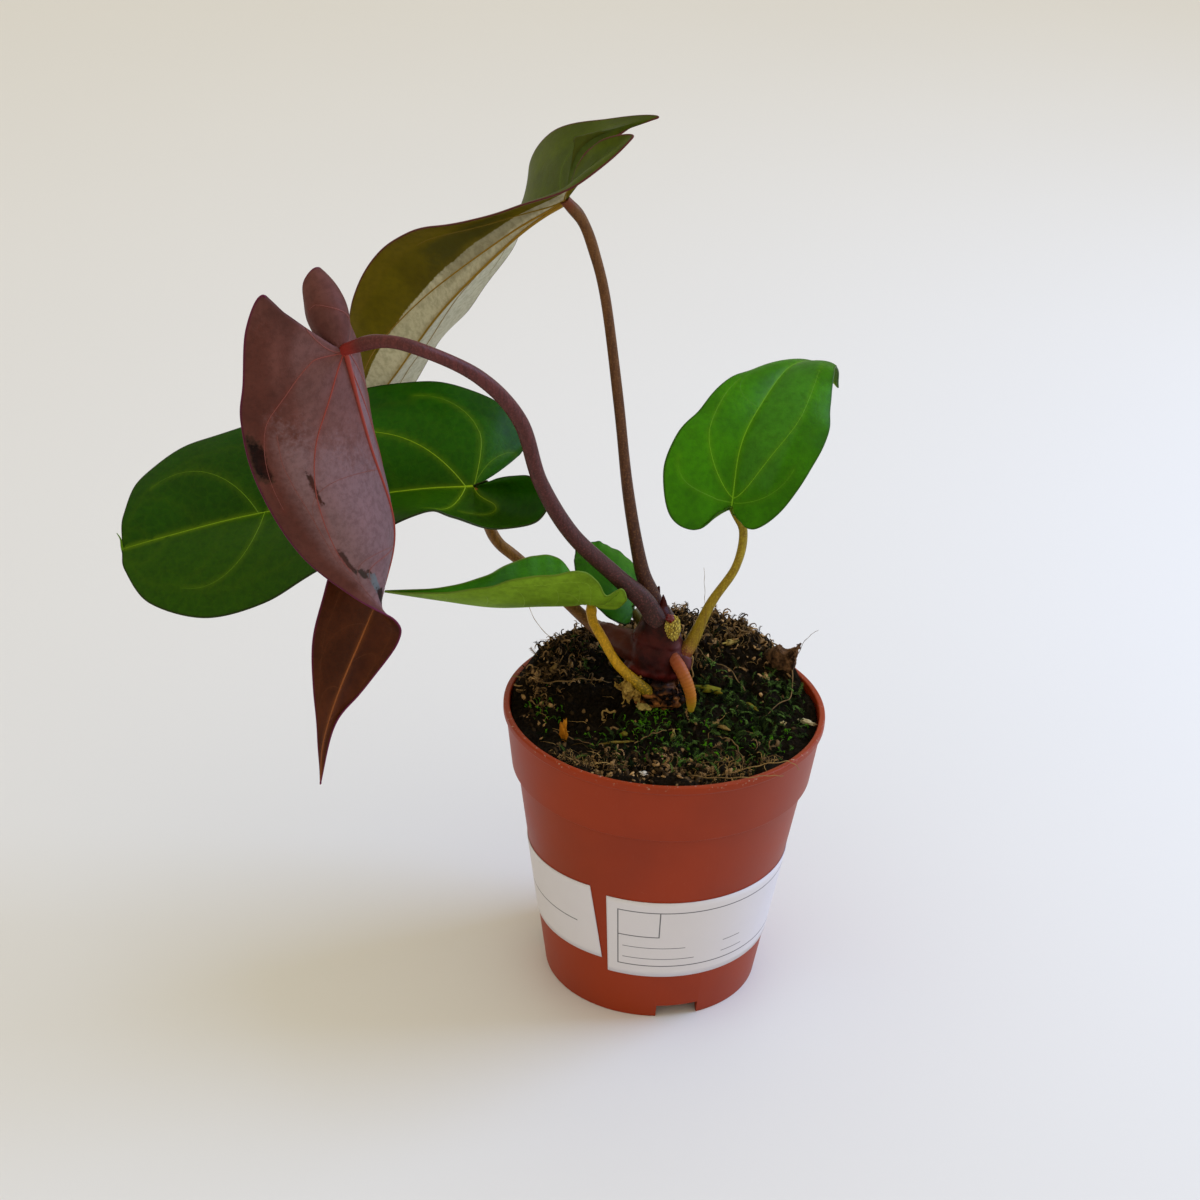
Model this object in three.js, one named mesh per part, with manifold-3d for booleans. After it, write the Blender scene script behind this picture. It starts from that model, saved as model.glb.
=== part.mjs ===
// A young anthurium hybrid in a round plastic nursery pot.
// Millimetres, +Z up. Sizes below are from the middle of the pot's foot, with the front of the plant at -Y.
import * as THREE from 'three';
import { mergeVertices } from 'three/addons/utils/BufferGeometryUtils.js';
import Module from 'manifold-3d';

const wasm = await Module();
wasm.setup();

// Driving dimensions of the pot
const RIM_RADIUS = 60;
const POT_HEIGHT = 113.5;
const FOOT_RADIUS = 40.9;
const BODY_TOP_RADIUS = 54.2;
const COLLAR_HEIGHT = 88.7;
const COLLAR_LOW_RADIUS = 56.4;
const COLLAR_TOP_RADIUS = 59;
const WALL = 1.2;
const LIP_HEIGHT = 3;
const FOOT_RING_WIDTH = 2.4;
const BASE_LIFT = 5;
const BASE_THICKNESS = 1.2;
const POT_SEGMENTS = 60;
const FOOT_NOTCH = { count: 3, first: 16.4, width: 16, depth: 6, height: 5.5 };
const DRAIN = { count: 6, radius: 3.2, circle: 27 };

// Clearance between pieces that touch
const GAP = 0.3;

// Labels on the pot wall: azimuths in degrees from the front, positive towards +X, and heights
const LABEL_THICKNESS = 0.4;
const LABELS = {
  label_front: { low: [-20, 88], high: [-20, 88], bottom: [21, 21], top: [57.7, 57.7] },
  label_side: { low: [-120, -23.1], high: [-120, -27.7], bottom: [24, 26.5], top: [54, 60] },
};

// Potting mix: a domed bed, heaped over the rim at the back and on both sides of it
const SOIL = {
  edge: 110, edgeRadius: 56.8, floor: BASE_LIFT + BASE_THICKNESS + GAP, rings: 9, sectors: 44,
  mounds: [
    { height: 8, x: 2, y: 5, spreadX: 22, spreadY: 22 }, { height: 15, x: 8, y: 44, spreadX: 26, spreadY: 16 },
    { height: 7, x: 36, y: 37, spreadX: 9, spreadY: 10 }, { height: 7, x: -37, y: 35, spreadX: 9, spreadY: 9 },
    { height: 6, x: -49, y: 17, spreadX: 7, spreadY: 10 },
  ],
  lump: 0.55, lumpRate: 0.36,
};

// Crown: the short stem that carries every leaf stalk. Each run lists [x, y, z, radius].
const CROWN = {
  stem: [[1, -1, 106, 7], [-1, -3, 116, 9], [-3, -3, 125, 8.4], [-4, -2, 134, 9.6], [-4, -1, 142, 9],
    [-4, 0, 149, 6.4], [-4, 1, 154, 3.6]],
  oldBase: [[-8, -8, 117, 3], [-4, -9, 121, 6], [2, -9, 122, 6.4], [7, -6, 120, 3]],
  callus: [[1, -3, 140, 3.4], [4.4, -4, 140, 2.6]],
  scaleFront: [[-3, 0, 150, 2], [-2.4, 0, 155, 1.3], [-2.8, 0.6, 159, 0.4]],
  scaleBack: [[-5, 3, 150, 2], [-5, 4.4, 156, 1.2], [-4.4, 5, 160, 0.4]],
};
const AERIAL_ROOT = [[0, -4, 138, 2.2], [4, -10, 136, 2.4], [7.4, -13, 131, 2.4], [9.4, -14, 125, 2.3],
  [10, -13.6, 120, 2.1], [10, -13.4, 116, 1.4]];
const CUT_STUB = { centre: [1.2, -5.6, 148.6], radii: [3, 3.4, 4.8] };

// A chip of bark that stands in the mix, and the outline of its flat side
const BARK_CHIP = {
  at: [42, 28, 119], turn: [0.15, 0, -0.35], thickness: 4,
  outline: [[-9, -7], [4, -9], [7, -2], [8, 10], [3, 5], [0, 7], [-5, 2]],
};

// Leaves. Every blade is a sheet stretched from its midrib to its two margins. The midrib runs from the
// stalk to the tip. left and right are the margins of the two halves, seen from the stalk on the upper face,
// from the notch at the stalk round the lobe to the tip. fan is the share of each margin that belongs to the
// lobe, and arch says how far each half stands up between midrib and margin, as a share of its width. hubs, for
// a leaf with long lobes, are the middles of its two lobes, from which the lobes spread.
// stalk lists [x, y, z, radius] from the crown to the blade, and the solid stops STALK_SHORTFALL before the
// last point, under the blade.
const BLADE_THICKNESS = 0.8;
const LEAST_CREASE_COSINE = 0.75;
const STALK_SHORTFALL = 1.7;
const LEAVES = {
  tall: {
    rows: [8, 16], columns: 4, color: 0x5d7a3a, stalkColor: 0x6e4b35,
    midrib: [[-44, 5, 305], [-62, 17, 286], [-88, 38, 251], [-107, 56, 218], [-118, 66, 199],
      [-127, 72, 181]],
    left: [[-44, 5, 305], [-40, 9, 316], [-33, 5, 326], [-22, -2, 331], [-27, -5, 325], [-40, -5, 314],
      [-60, 4, 302], [-77, 16, 292], [-94, 30, 284], [-106, 40, 275], [-116, 48, 263], [-123, 54, 247],
      [-127, 62, 226], [-130, 70, 202], [-127, 72, 181]],
    right: [[-44, 5, 305], [-39, 13, 322], [-25, 16, 329], [-14, 14, 333], [-31, 26, 328], [-50, 38, 319],
      [-59, 48, 304], [-61, 54, 288], [-65, 60, 268], [-74, 64, 254], [-83, 70, 238], [-95, 76, 221],
      [-103, 80, 205], [-113, 80, 190], [-127, 72, 181]],
    fan: [0.38, 0.4], hubs: [[-35, 2, 319], [-42, 20, 322]],
    arch: [[0, 0, 0.2, 0.15, 0, 0], [0, 0, 0.05, 0, 0]],
    stalk: [[-4, 4, 149, 3.4], [-8, 4, 158, 3.3], [-12, 4, 170, 2.6], [-17.6, 4, 198, 2.1],
      [-22.6, 6, 232, 1.9], [-28.6, 8, 268, 1.8], [-33.6, 9, 286, 1.9], [-38, 8, 297, 1.9],
      [-44, 5, 305, 1.9]],
  },
  red: {
    rows: [8, 18], columns: 4, color: 0x7a4043, stalkColor: 0x5f3038,
    midrib: [[-112, -50, 267], [-105, -44, 233], [-97, -41, 202], [-99, -46, 182], [-105, -56, 166],
      [-113, -63, 145], [-118, -65, 126], [-119, -66, 110]],
    left: [[-112, -50, 267], [-120, -57, 274], [-129, -61, 280], [-136, -62, 290], [-141, -65, 279],
      [-142, -67, 261], [-143, -67, 247], [-138, -67, 225], [-124, -66, 200], [-108, -64, 185],
      [-94, -59, 173], [-93, -57, 164], [-103, -59, 148], [-114, -63, 134], [-119, -66, 110]],
    right: [[-112, -50, 267], [-120, -46, 270], [-125, -43, 278], [-126, -40, 287], [-122, -36, 290],
      [-119, -29, 277], [-116, -20, 258], [-117, -13, 230], [-117, -14, 208], [-117, -26, 190],
      [-120, -42, 175], [-123, -52, 160], [-122, -59, 144], [-120, -63, 126], [-119, -66, 110]],
    fan: [0.33, 0.42], arch: [[-0.05, -0.1, -0.15, -0.3, -0.1, 0], [-0.2, -0.2, -0.15, -0.15, -0.1, 0]],
    stalk: [[-4, -3, 149, 3.6], [-10, -3, 158, 3.6], [-20, -7, 169, 3.2], [-36, -18, 190, 2.9],
      [-47, -30, 215, 2.7], [-54, -40, 242, 2.6], [-67, -50, 261, 2.4], [-86, -58, 273, 2.2],
      [-99, -58, 275, 2.1], [-112, -50, 268, 2]],
  },
  long: {
    rows: [8, 18], columns: 4, color: 0x2c6a1e, stalkColor: 0x8a5a30,
    midrib: [[-74, 15, 191], [-94, 14, 189], [-126, 10, 184], [-157, 3, 179], [-184, -5, 173],
      [-199, -9, 169]],
    left: [[-74, 15, 191], [-64, 8, 198], [-53, -2, 204], [-45, -9, 200], [-49, -15, 193],
      [-63, -18, 191], [-77, -22, 196], [-85, -24, 199], [-96, -27, 196], [-125, -28, 175],
      [-144, -30, 162], [-165, -31, 155], [-186, -26, 157], [-197, -15, 164], [-199, -9, 169]],
    right: [[-74, 15, 191], [-68, 24, 193], [-59, 32, 197], [-58, 37, 202], [-68, 44, 212],
      [-90, 46, 218], [-112, 45, 216], [-142, 40, 208], [-162, 34, 201], [-182, 26, 195],
      [-197, 14, 186], [-200, 0, 178], [-199, -9, 169]],
    fan: [0.38, 0.36], arch: [[0, 0, -0.12, -0.05, 0.1, 0.08, 0.05], [0, 0.05, 0.1, 0.1, 0.1, 0.05]],
    stalk: [[-10, 1, 133, 4], [-20, 9, 135, 4.2], [-29, 17, 136, 2.6], [-39, 26, 140, 2.3],
      [-58, 33, 153, 2.2], [-66, 31, 161, 2.2], [-70, 26, 172, 2.1], [-74, 15, 191, 2]],
  },
  low: {
    rows: [6, 13], columns: 3, color: 0x5f9a35, stalkColor: 0xb99a3a,
    midrib: [[-29, 3, 153], [-36, -2, 154], [-47, -6, 155], [-64, -9, 155], [-83, -12, 158],
      [-103, -14, 161]],
    left: [[-29, 3, 153], [-21, -4, 154], [-16, -11, 162], [-18, -13, 167], [-23, -14, 165],
      [-27, -17, 172], [-33, -20, 177], [-42, -21, 175], [-55, -21, 173], [-66, -20, 168],
      [-83, -18, 164], [-103, -14, 161]],
    right: [[-29, 3, 153], [-26, 11, 150], [-28, 16, 149], [-35, 19, 153], [-43, 21, 161],
      [-51, 17, 163], [-60, 9, 163], [-68, 0, 162], [-82, -9, 161], [-103, -14, 161]],
    fan: [0.36, 0.3], arch: [[-0.1, -0.1, -0.1, 0], [-0.1, -0.1, -0.1, 0]],
    stalk: [[-3, -10, 121, 2.4], [-10, -12, 128, 2.1], [-18, -9, 134, 1.8], [-24, -5, 142, 1.8],
      [-28, -1, 147, 1.8], [-29, 2, 152, 1.7]],
  },
  right: {
    rows: [7, 15], columns: 4, color: 0x3f8a1e, stalkColor: 0x8f8238,
    midrib: [[20, 12, 190], [22, 20, 211], [29, 33, 223], [39, 52, 230], [50, 66, 226], [59, 76, 213]],
    left: [[20, 12, 190], [15, 8, 189], [7, 4, 184], [-2, 3, 190], [-5, 8, 205], [-1, 16, 216],
      [6, 24, 222], [14, 36, 228], [25, 48, 230], [37, 62, 228], [49, 72, 224], [59, 76, 213]],
    right: [[20, 12, 190], [23, 9, 186], [29, 6, 185], [38, 8, 192], [47, 14, 205], [53, 24, 215],
      [54, 36, 223], [55, 50, 230], [57, 62, 227], [59, 76, 213]],
    fan: [0.36, 0.33], arch: [[0.05, 0.05, 0.05, 0.1, 0.1], [0.05, 0.05, 0.08, 0.1, 0.1]],
    stalk: [[3, -3, 129, 3.2], [6, -2, 136, 3], [9, 0, 141, 2.5], [15, 2, 156, 1.8], [23, 6, 169, 1.6],
      [25, 13, 180, 1.6], [20.5, 13.6, 189.6, 1.6]],
  },
  back: {
    rows: [5, 9], columns: 3, color: 0x2f7425, stalkColor: 0x6d6a35,
    midrib: [[-14, 24, 141], [-19, 32, 150], [-28, 38, 154], [-37, 40, 155]],
    left: [[-14, 24, 141], [-15, 18, 137], [-21, 16, 139], [-29, 18, 145], [-35, 26, 150],
      [-37, 34, 153], [-37, 40, 155]],
    right: [[-14, 24, 141], [-10, 30, 141], [-8, 38, 145], [-16, 44, 150], [-25, 46, 155],
      [-31, 44, 157], [-37, 40, 155]],
    fan: [0.4, 0.3], arch: [[0.05, 0.05, 0.05], [0.05, 0.05, 0.05]],
    stalk: [[-5, 5, 132, 2.4], [-6, 13, 131, 2.2], [-9, 21, 133, 2], [-13.6, 23.4, 139.6, 1.6]],
  },
};

// A dried, papery stalk sheath at the front of the crown
const DRY_SHEATH = {
  rows: [4, 6], columns: 3,
  midrib: [[-8, -15, 123], [-14, -16, 121], [-20, -17, 118]],
  left: [[-8, -15, 123], [-9, -15, 127], [-14, -15, 127], [-19, -16, 123], [-20, -17, 118]],
  right: [[-8, -15, 123], [-6, -18, 119], [-11, -19, 117], [-16, -19, 116], [-20, -17, 118]],
  fan: [0.3, 0.3], arch: [[0.15, 0.15], [0.15, 0.15]],
};

// Small helpers
const vector = ([x, y, z]) => new THREE.Vector3(x, y, z);
const spline = (points) => new THREE.CatmullRomCurve3(points.map(vector), false, 'catmullrom', 0.5);
const range = (count) => Array.from({ length: count }, (_, i) => i);

// A smooth run of single numbers, read at t from 0 to 1
function blend(values, t) {
  return spline(values.map((value) => [value, 0, 0])).getPoint(t).x;
}

function meshGeometry(positions, triangles) {
  const coordinates = positions.flatMap((point) => point.toArray());
  const geometry = new THREE.BufferGeometry();
  geometry.setAttribute('position', new THREE.Float32BufferAttribute(coordinates, 3));
  geometry.setIndex(triangles);
  return geometry;
}

// A closed skin over a row of rings with equal point counts, with a fan over each end
function loft(rings) {
  const count = rings[0].length;
  const positions = rings.flat();
  const triangles = [];
  for (const i of range(rings.length - 1)) {
    for (const j of range(count)) {
      const a = i * count + j;
      const b = i * count + (j + 1) % count;
      triangles.push(a, b, b + count, a, b + count, a + count);
    }
  }
  const last = (rings.length - 1) * count;
  const start = positions.push(centreOf(rings[0])) - 1;
  const end = positions.push(centreOf(rings[rings.length - 1])) - 1;
  for (const j of range(count)) {
    const next = (j + 1) % count;
    triangles.push(start, next, j, end, last + j, last + next);
  }
  return meshGeometry(positions, triangles);
}

function centreOf(ring) {
  const sum = new THREE.Vector3();
  ring.forEach((point) => sum.add(point));
  return sum.divideScalar(ring.length);
}

// A round tapering run through [x, y, z, radius] points, made fatter and longer at its start by grow, and
// shorter at its end by trim
function tube(run, { sides = 8, steps = 3 * run.length, grow = 0, trim = 0 } = {}) {
  const points = run.map(vector);
  const [first, second] = points;
  const [beforeLast, last] = points.slice(-2);
  first.addScaledVector(second.clone().sub(first).normalize(), -grow);
  last.addScaledVector(beforeLast.clone().sub(last).normalize(), trim);
  const curve = new THREE.CatmullRomCurve3(points, false, 'catmullrom', 0.5);
  const radii = run.map((point) => point[3]);
  const side = new THREE.Vector3(0.3, 0.9, 0.3);
  return loft(range(steps + 1).map((i) => {
    const t = i / steps;
    const centre = curve.getPoint(t);
    const along = curve.getTangent(t);
    const across = side.clone().addScaledVector(along, -side.dot(along)).normalize();
    const up = along.clone().cross(across);
    side.copy(across);
    const radius = blend(radii, t) + grow;
    return range(sides).map((j) => {
      const angle = 2 * Math.PI * j / sides;
      return centre.clone()
        .addScaledVector(across, radius * Math.cos(angle))
        .addScaledVector(up, radius * Math.sin(angle));
    });
  }));
}

// Solids for joining and cutting
function solid(geometry) {
  const bare = geometry.clone();
  bare.deleteAttribute('normal');
  bare.deleteAttribute('uv');
  const merged = mergeVertices(bare, 1e-4);
  const index = merged.index.array;
  const kept = [];
  for (let i = 0; i < index.length; i += 3) {
    const [a, b, c] = index.slice(i, i + 3);
    if (a !== b && b !== c && c !== a) kept.push(a, b, c);
  }
  return new wasm.Manifold(new wasm.Mesh({
    numProp: 3,
    vertProperties: new Float32Array(merged.attributes.position.array),
    triVerts: new Uint32Array(kept),
  }));
}

function geometryOf(body) {
  const mesh = body.getMesh();
  const geometry = new THREE.BufferGeometry();
  geometry.setAttribute('position', new THREE.BufferAttribute(new Float32Array(mesh.vertProperties), 3));
  geometry.setIndex(new THREE.BufferAttribute(new Uint32Array(mesh.triVerts), 1));
  geometry.computeVertexNormals();
  return geometry;
}

const join = (bodies) => bodies.reduce((whole, body) => whole.add(body));
const cut = (body, cutters) => cutters.reduce((rest, cutter) => rest.subtract(cutter), body);
const largestPiece = (body) => body.decompose().sort((a, b) => b.volume() - a.volume())[0];

// Pot

// Outer wall radius at a height between the foot and the collar's lower edge
const bodyRadius = (z) => THREE.MathUtils.mapLinear(z, 0, COLLAR_HEIGHT, FOOT_RADIUS, BODY_TOP_RADIUS);

function pot() {
  const baseTop = BASE_LIFT + BASE_THICKNESS;
  const lip = POT_HEIGHT - LIP_HEIGHT;
  const profile = [
    [0, BASE_LIFT], [FOOT_RADIUS - FOOT_RING_WIDTH, BASE_LIFT], [FOOT_RADIUS - FOOT_RING_WIDTH + 0.4, 0],
    [FOOT_RADIUS - 0.4, 0],
    [FOOT_RADIUS, 0.5], [BODY_TOP_RADIUS, COLLAR_HEIGHT - 0.6], [COLLAR_LOW_RADIUS - 0.4, COLLAR_HEIGHT],
    [COLLAR_LOW_RADIUS, COLLAR_HEIGHT + 0.6], [COLLAR_TOP_RADIUS, lip - 0.6], [RIM_RADIUS - 0.2, lip],
    [RIM_RADIUS, lip + 1.2], [RIM_RADIUS - 0.4, POT_HEIGHT - 0.4], [RIM_RADIUS - 1.2, POT_HEIGHT],
    [RIM_RADIUS - 2.2, POT_HEIGHT - 0.4], [COLLAR_TOP_RADIUS - WALL, lip],
    [COLLAR_LOW_RADIUS - WALL, COLLAR_HEIGHT + 0.4], [BODY_TOP_RADIUS - WALL, COLLAR_HEIGHT - 1.6],
    [FOOT_RADIUS - WALL + 0.9, baseTop], [0, baseTop],
  ].map(([r, z]) => new THREE.Vector2(r, z));
  const shell = solid(new THREE.LatheGeometry(profile, POT_SEGMENTS).rotateX(Math.PI / 2));
  const notches = range(FOOT_NOTCH.count).map((i) => {
    const azimuth = THREE.MathUtils.degToRad(FOOT_NOTCH.first + 360 * i / FOOT_NOTCH.count);
    const block = new THREE.BoxGeometry(FOOT_NOTCH.width, FOOT_NOTCH.depth, 2 * FOOT_NOTCH.height);
    return solid(block.translate(0, FOOT_RING_WIDTH / 2 - FOOT_RADIUS, 0).rotateZ(azimuth));
  });
  const drains = range(DRAIN.count).map((i) => {
    const hole = new THREE.CylinderGeometry(DRAIN.radius, DRAIN.radius, 10, 12).rotateX(Math.PI / 2);
    return solid(hole.translate(DRAIN.circle, 0, BASE_LIFT).rotateZ(2 * Math.PI * (i + 0.5) / DRAIN.count));
  });
  return cut(shell, [...notches, ...drains]);
}

// A label as a thin plate that wraps the pot wall. Its two ends may slant.
function label({ low, high, bottom, top }) {
  const steps = 22;
  const corner = (azimuth, z, lift) => {
    const angle = THREE.MathUtils.degToRad(azimuth);
    const radius = bodyRadius(z) + lift;
    return new THREE.Vector3(radius * Math.sin(angle), -radius * Math.cos(angle), z);
  };
  return solid(loft(range(steps + 1).map((i) => {
    const t = i / steps;
    const [azimuthLow, azimuthHigh] = [low, high].map(([a, b]) => THREE.MathUtils.lerp(a, b, t));
    const [zLow, zHigh] = [bottom, top].map(([a, b]) => THREE.MathUtils.lerp(a, b, t));
    return [
      corner(azimuthLow, zLow, GAP), corner(azimuthHigh, zHigh, GAP),
      corner(azimuthHigh, zHigh, GAP + LABEL_THICKNESS), corner(azimuthLow, zLow, GAP + LABEL_THICKNESS),
    ];
  })));
}

// Height of the potting mix at a place in the pot
function soilHeight(x, y) {
  const hill = ({ height, x: cx, y: cy, spreadX, spreadY }) =>
    height * Math.exp(-0.5 * (((x - cx) / spreadX) ** 2 + ((y - cy) / spreadY) ** 2));
  const falloff = 1 - (Math.hypot(x, y) / RIM_RADIUS) ** 24;
  const lumps = SOIL.lump * range(3).reduce((sum, i) => {
    const heading = i * Math.PI / 3 + 0.4;
    return sum + Math.sin(SOIL.lumpRate * (x * Math.cos(heading) + y * Math.sin(heading)) + 1.7 * i);
  }, 0);
  return SOIL.edge + falloff * SOIL.mounds.reduce((sum, mound) => sum + hill(mound), 0) + lumps;
}

function soil() {
  const ring = (radius, height) => range(SOIL.sectors).map((j) => {
    const angle = 2 * Math.PI * j / SOIL.sectors;
    const x = radius * Math.cos(angle);
    const y = radius * Math.sin(angle);
    return new THREE.Vector3(x, y, height ?? soilHeight(x, y));
  });
  const surface = range(SOIL.rings).map((i) => ring(SOIL.edgeRadius * (i + 1) / SOIL.rings));
  const inside = WALL + GAP + 0.1;
  const bed = [
    ring(FOOT_RADIUS - inside + 0.8, SOIL.floor),
    ring(BODY_TOP_RADIUS - inside - 0.4, COLLAR_HEIGHT - 2.4),
    ring(COLLAR_LOW_RADIUS - inside - 0.2, COLLAR_HEIGHT + 3.8),
    ...surface.reverse(),
  ];
  return solid(loft(bed));
}

// Crown and what grows from it

const crownStem = (grow) => join([CROWN.stem, CROWN.oldBase]
  .map((run) => solid(tube(run, { sides: 12, grow }))));

function crown() {
  const trims = [CROWN.callus, CROWN.scaleFront, CROWN.scaleBack].map((run) => solid(tube(run)));
  return join([crownStem(0), ...trims]);
}

function cutStub(grow) {
  const [x, y, z] = CUT_STUB.radii.map((radius) => radius + grow);
  return solid(new THREE.SphereGeometry(1, 12, 8).rotateX(Math.PI / 2).scale(x, y, z)
    .translate(...CUT_STUB.centre));
}

function barkChip(grow) {
  const outline = BARK_CHIP.outline.map(([x, y]) => new THREE.Vector2(x, y).multiplyScalar(1 + grow / 8));
  const depth = BARK_CHIP.thickness + 2 * grow;
  const chip = new THREE.ExtrudeGeometry(new THREE.Shape(outline), { depth, bevelEnabled: false });
  const turn = new THREE.Euler(...BARK_CHIP.turn);
  const place = new THREE.Matrix4().makeRotationFromEuler(turn).setPosition(...BARK_CHIP.at);
  return solid(chip.translate(0, 0, -depth / 2).rotateX(Math.PI / 2).applyMatrix4(place));
}

// Leaf blades

// The upper face of one half, as rows of points from the midrib to the margin. The lobe's rows start between
// the stalk and the lobe's hub and back again, and the others are spread along the midrib.
function bladeRows({ midrib, left, right, fan, arch, rows, columns, hubs = [midrib[0], midrib[0]] }, side) {
  const half = side < 0 ? 0 : 1;
  const rib = spline(midrib);
  const margin = spline(side < 0 ? left : right);
  const share = fan[half];
  const toHub = vector(hubs[half]).sub(vector(midrib[0]));
  const ribPoint = (u) => rib.getPoint(Math.max(0, (u - share) / (1 - share)))
    .addScaledVector(toHub, Math.sin(Math.PI * Math.min(1, u / share)) ** 2);
  const [lobeRows, bodyRows] = rows;
  const stations = [
    ...range(lobeRows).map((i) => share * i / lobeRows),
    ...range(bodyRows + 1).map((i) => share + (1 - share) * i / bodyRows),
  ];
  return stations.map((u) => {
    const [before, after] = [Math.max(0, u - 1e-3), Math.min(1, u + 1e-3)];
    const from = ribPoint(u);
    const chord = margin.getPoint(u).sub(from);
    const advance = margin.getPoint(after).sub(margin.getPoint(before))
      .add(ribPoint(after)).sub(ribPoint(before));
    const rise = chord.clone().cross(advance).setLength(side * chord.length() * blend(arch[half], u));
    return range(columns + 1).map((j) => {
      const w = j / columns;
      return from.clone().addScaledVector(chord, w).addScaledVector(rise, 4 * w * (1 - w));
    });
  });
}

// The whole upper face of a blade as one sheet with shared points
function bladeSheet(leaf) {
  const positions = [];
  for (const side of [-1, 1]) {
    const grid = bladeRows(leaf, side);
    for (const i of range(grid.length - 1)) {
      for (const j of range(leaf.columns)) {
        const [a, b, c, d] = [grid[i][j], grid[i + 1][j], grid[i + 1][j + 1], grid[i][j + 1]];
        positions.push(...(side < 0 ? [a, b, c, a, c, d] : [a, c, b, a, d, c]));
      }
    }
  }
  return mergeVertices(meshGeometry(positions, range(positions.length)), 1e-3);
}

// The direction in which each point of a sheet moves to give it thickness, longer at a crease so that the
// faces on both sides of the crease move by the whole thickness
function mitres(points, faces) {
  const faceNormals = faces.map(([a, b, c]) => new THREE.Triangle(points[a], points[b], points[c])
    .getNormal(new THREE.Vector3()));
  const around = points.map(() => []);
  faces.forEach((face, i) => face.forEach((corner) => around[corner].push(faceNormals[i])));
  return around.map((normals) => {
    const mean = centreOf(normals).normalize();
    const least = Math.min(...normals.map((normal) => normal.dot(mean)));
    return mean.multiplyScalar(1 / Math.max(least, LEAST_CREASE_COSINE));
  });
}

// Gives a sheet its thickness: above is added on the upper face, below on the under face. Both faces keep the
// same triangles, so a waved blade stays closed and never crosses itself.
function thicken(sheet, above, below) {
  const { position } = sheet.attributes;
  const count = position.count;
  const points = range(count).map((i) => new THREE.Vector3().fromBufferAttribute(position, i));
  const faces = range(sheet.index.count / 3)
    .map((i) => range(3).map((k) => sheet.index.getX(3 * i + k)))
    .filter(([a, b, c]) => a !== b && b !== c && c !== a);
  const outward = mitres(points, faces);
  const layer = (offset) => points.map((point, i) => point.clone().addScaledVector(outward[i], offset));
  const triangles = [];
  const edges = new Map();
  for (const [a, b, c] of faces) {
    triangles.push(a, b, c, count + a, count + c, count + b);
    [[a, b], [b, c], [c, a]].forEach(([from, to]) => edges.set(`${from} ${to}`, [from, to]));
  }
  for (const [from, to] of edges.values()) {
    if (edges.has(`${to} ${from}`)) continue;
    triangles.push(from, count + to, to, from, count + from, count + to);
  }
  return solid(meshGeometry([...layer(above), ...layer(-below)], triangles));
}

const blade = (leaf, grow) => thicken(bladeSheet(leaf), grow, BLADE_THICKNESS + grow);

// Assembly

const material = (color, roughness) => new THREE.MeshStandardMaterial({ color, roughness, metalness: 0 });

const plant = new THREE.Group();
function place(name, body, color, roughness) {
  const mesh = new THREE.Mesh(geometryOf(body), material(color, roughness));
  mesh.name = name;
  plant.add(mesh);
}

const stalkCutters = Object.values(LEAVES).map(({ stalk }) => solid(tube(stalk, { grow: GAP })));
const rootCutter = solid(tube(AERIAL_ROOT, { grow: GAP }));

place('pot', pot(), 0xa8482f, 0.45);
for (const [name, spec] of Object.entries(LABELS)) {
  place(name, label(spec), 0xe9ebee, 0.6);
}
const sheath = largestPiece(cut(thicken(bladeSheet(DRY_SHEATH), 0, BLADE_THICKNESS),
  [crownStem(GAP), ...stalkCutters]));
const sheathCutter = thicken(bladeSheet(DRY_SHEATH), GAP, BLADE_THICKNESS + GAP);
place('soil', cut(soil(), [crownStem(GAP), sheathCutter, barkChip(GAP), rootCutter]), 0x2f2a1c, 0.95);
place('bark_chip', barkChip(0), 0x5a3a22, 0.9);
place('crown', largestPiece(cut(crown(), [...stalkCutters, rootCutter, cutStub(GAP)])), 0x4a2226, 0.5);
place('cut_stub', cut(cutStub(0), stalkCutters), 0xcdb04e, 0.8);
place('aerial_root', solid(tube(AERIAL_ROOT)), 0xc07a45, 0.6);
place('dry_sheath', sheath, 0xb9a878, 0.8);

Object.entries(LEAVES).forEach(([name, leaf], i) => {
  const earlier = stalkCutters.slice(0, i);
  const trimmed = solid(tube(leaf.stalk, { trim: STALK_SHORTFALL }));
  const stalk = cut(trimmed, [blade(leaf, 2 * GAP), ...earlier]);
  place(`stalk_${name}`, largestPiece(stalk), leaf.stalkColor, 0.5);
  place(`blade_${name}`, blade(leaf, 0), leaf.color, 0.4);
});

// The origin is on the surface that the pot stands on, below the middle of the whole plant
const bounds = new THREE.Box3().setFromObject(plant);
const middle = bounds.getCenter(new THREE.Vector3());
plant.position.set(-middle.x, -middle.y, -bounds.min.z);

const part = new THREE.Group();
part.add(plant);

export default part;
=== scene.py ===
import math

import bmesh
import bpy
import numpy as np
from bpy.props import BoolProperty, FloatProperty, FloatVectorProperty, IntProperty, PointerProperty
from mathutils import Matrix, Vector, noise
from mathutils.kdtree import KDTree


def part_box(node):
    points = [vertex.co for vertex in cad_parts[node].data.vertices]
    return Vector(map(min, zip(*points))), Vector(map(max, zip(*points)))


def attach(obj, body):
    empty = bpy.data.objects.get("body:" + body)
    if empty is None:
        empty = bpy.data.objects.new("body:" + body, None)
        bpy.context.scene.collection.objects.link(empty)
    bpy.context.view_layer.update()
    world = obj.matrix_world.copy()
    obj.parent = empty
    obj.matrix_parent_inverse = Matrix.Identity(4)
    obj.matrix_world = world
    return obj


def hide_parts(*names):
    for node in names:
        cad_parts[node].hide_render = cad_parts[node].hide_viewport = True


bl_info = {
    "name": "Potted anthurium hybrid",
    "version": (1, 0, 0),
    "blender": (4, 5, 0),
    "location": "3D View > Sidebar > Plant",
    "description": "Builds a young anthurium hybrid in a plastic nursery pot",
    "category": "Add Mesh",
}

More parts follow.
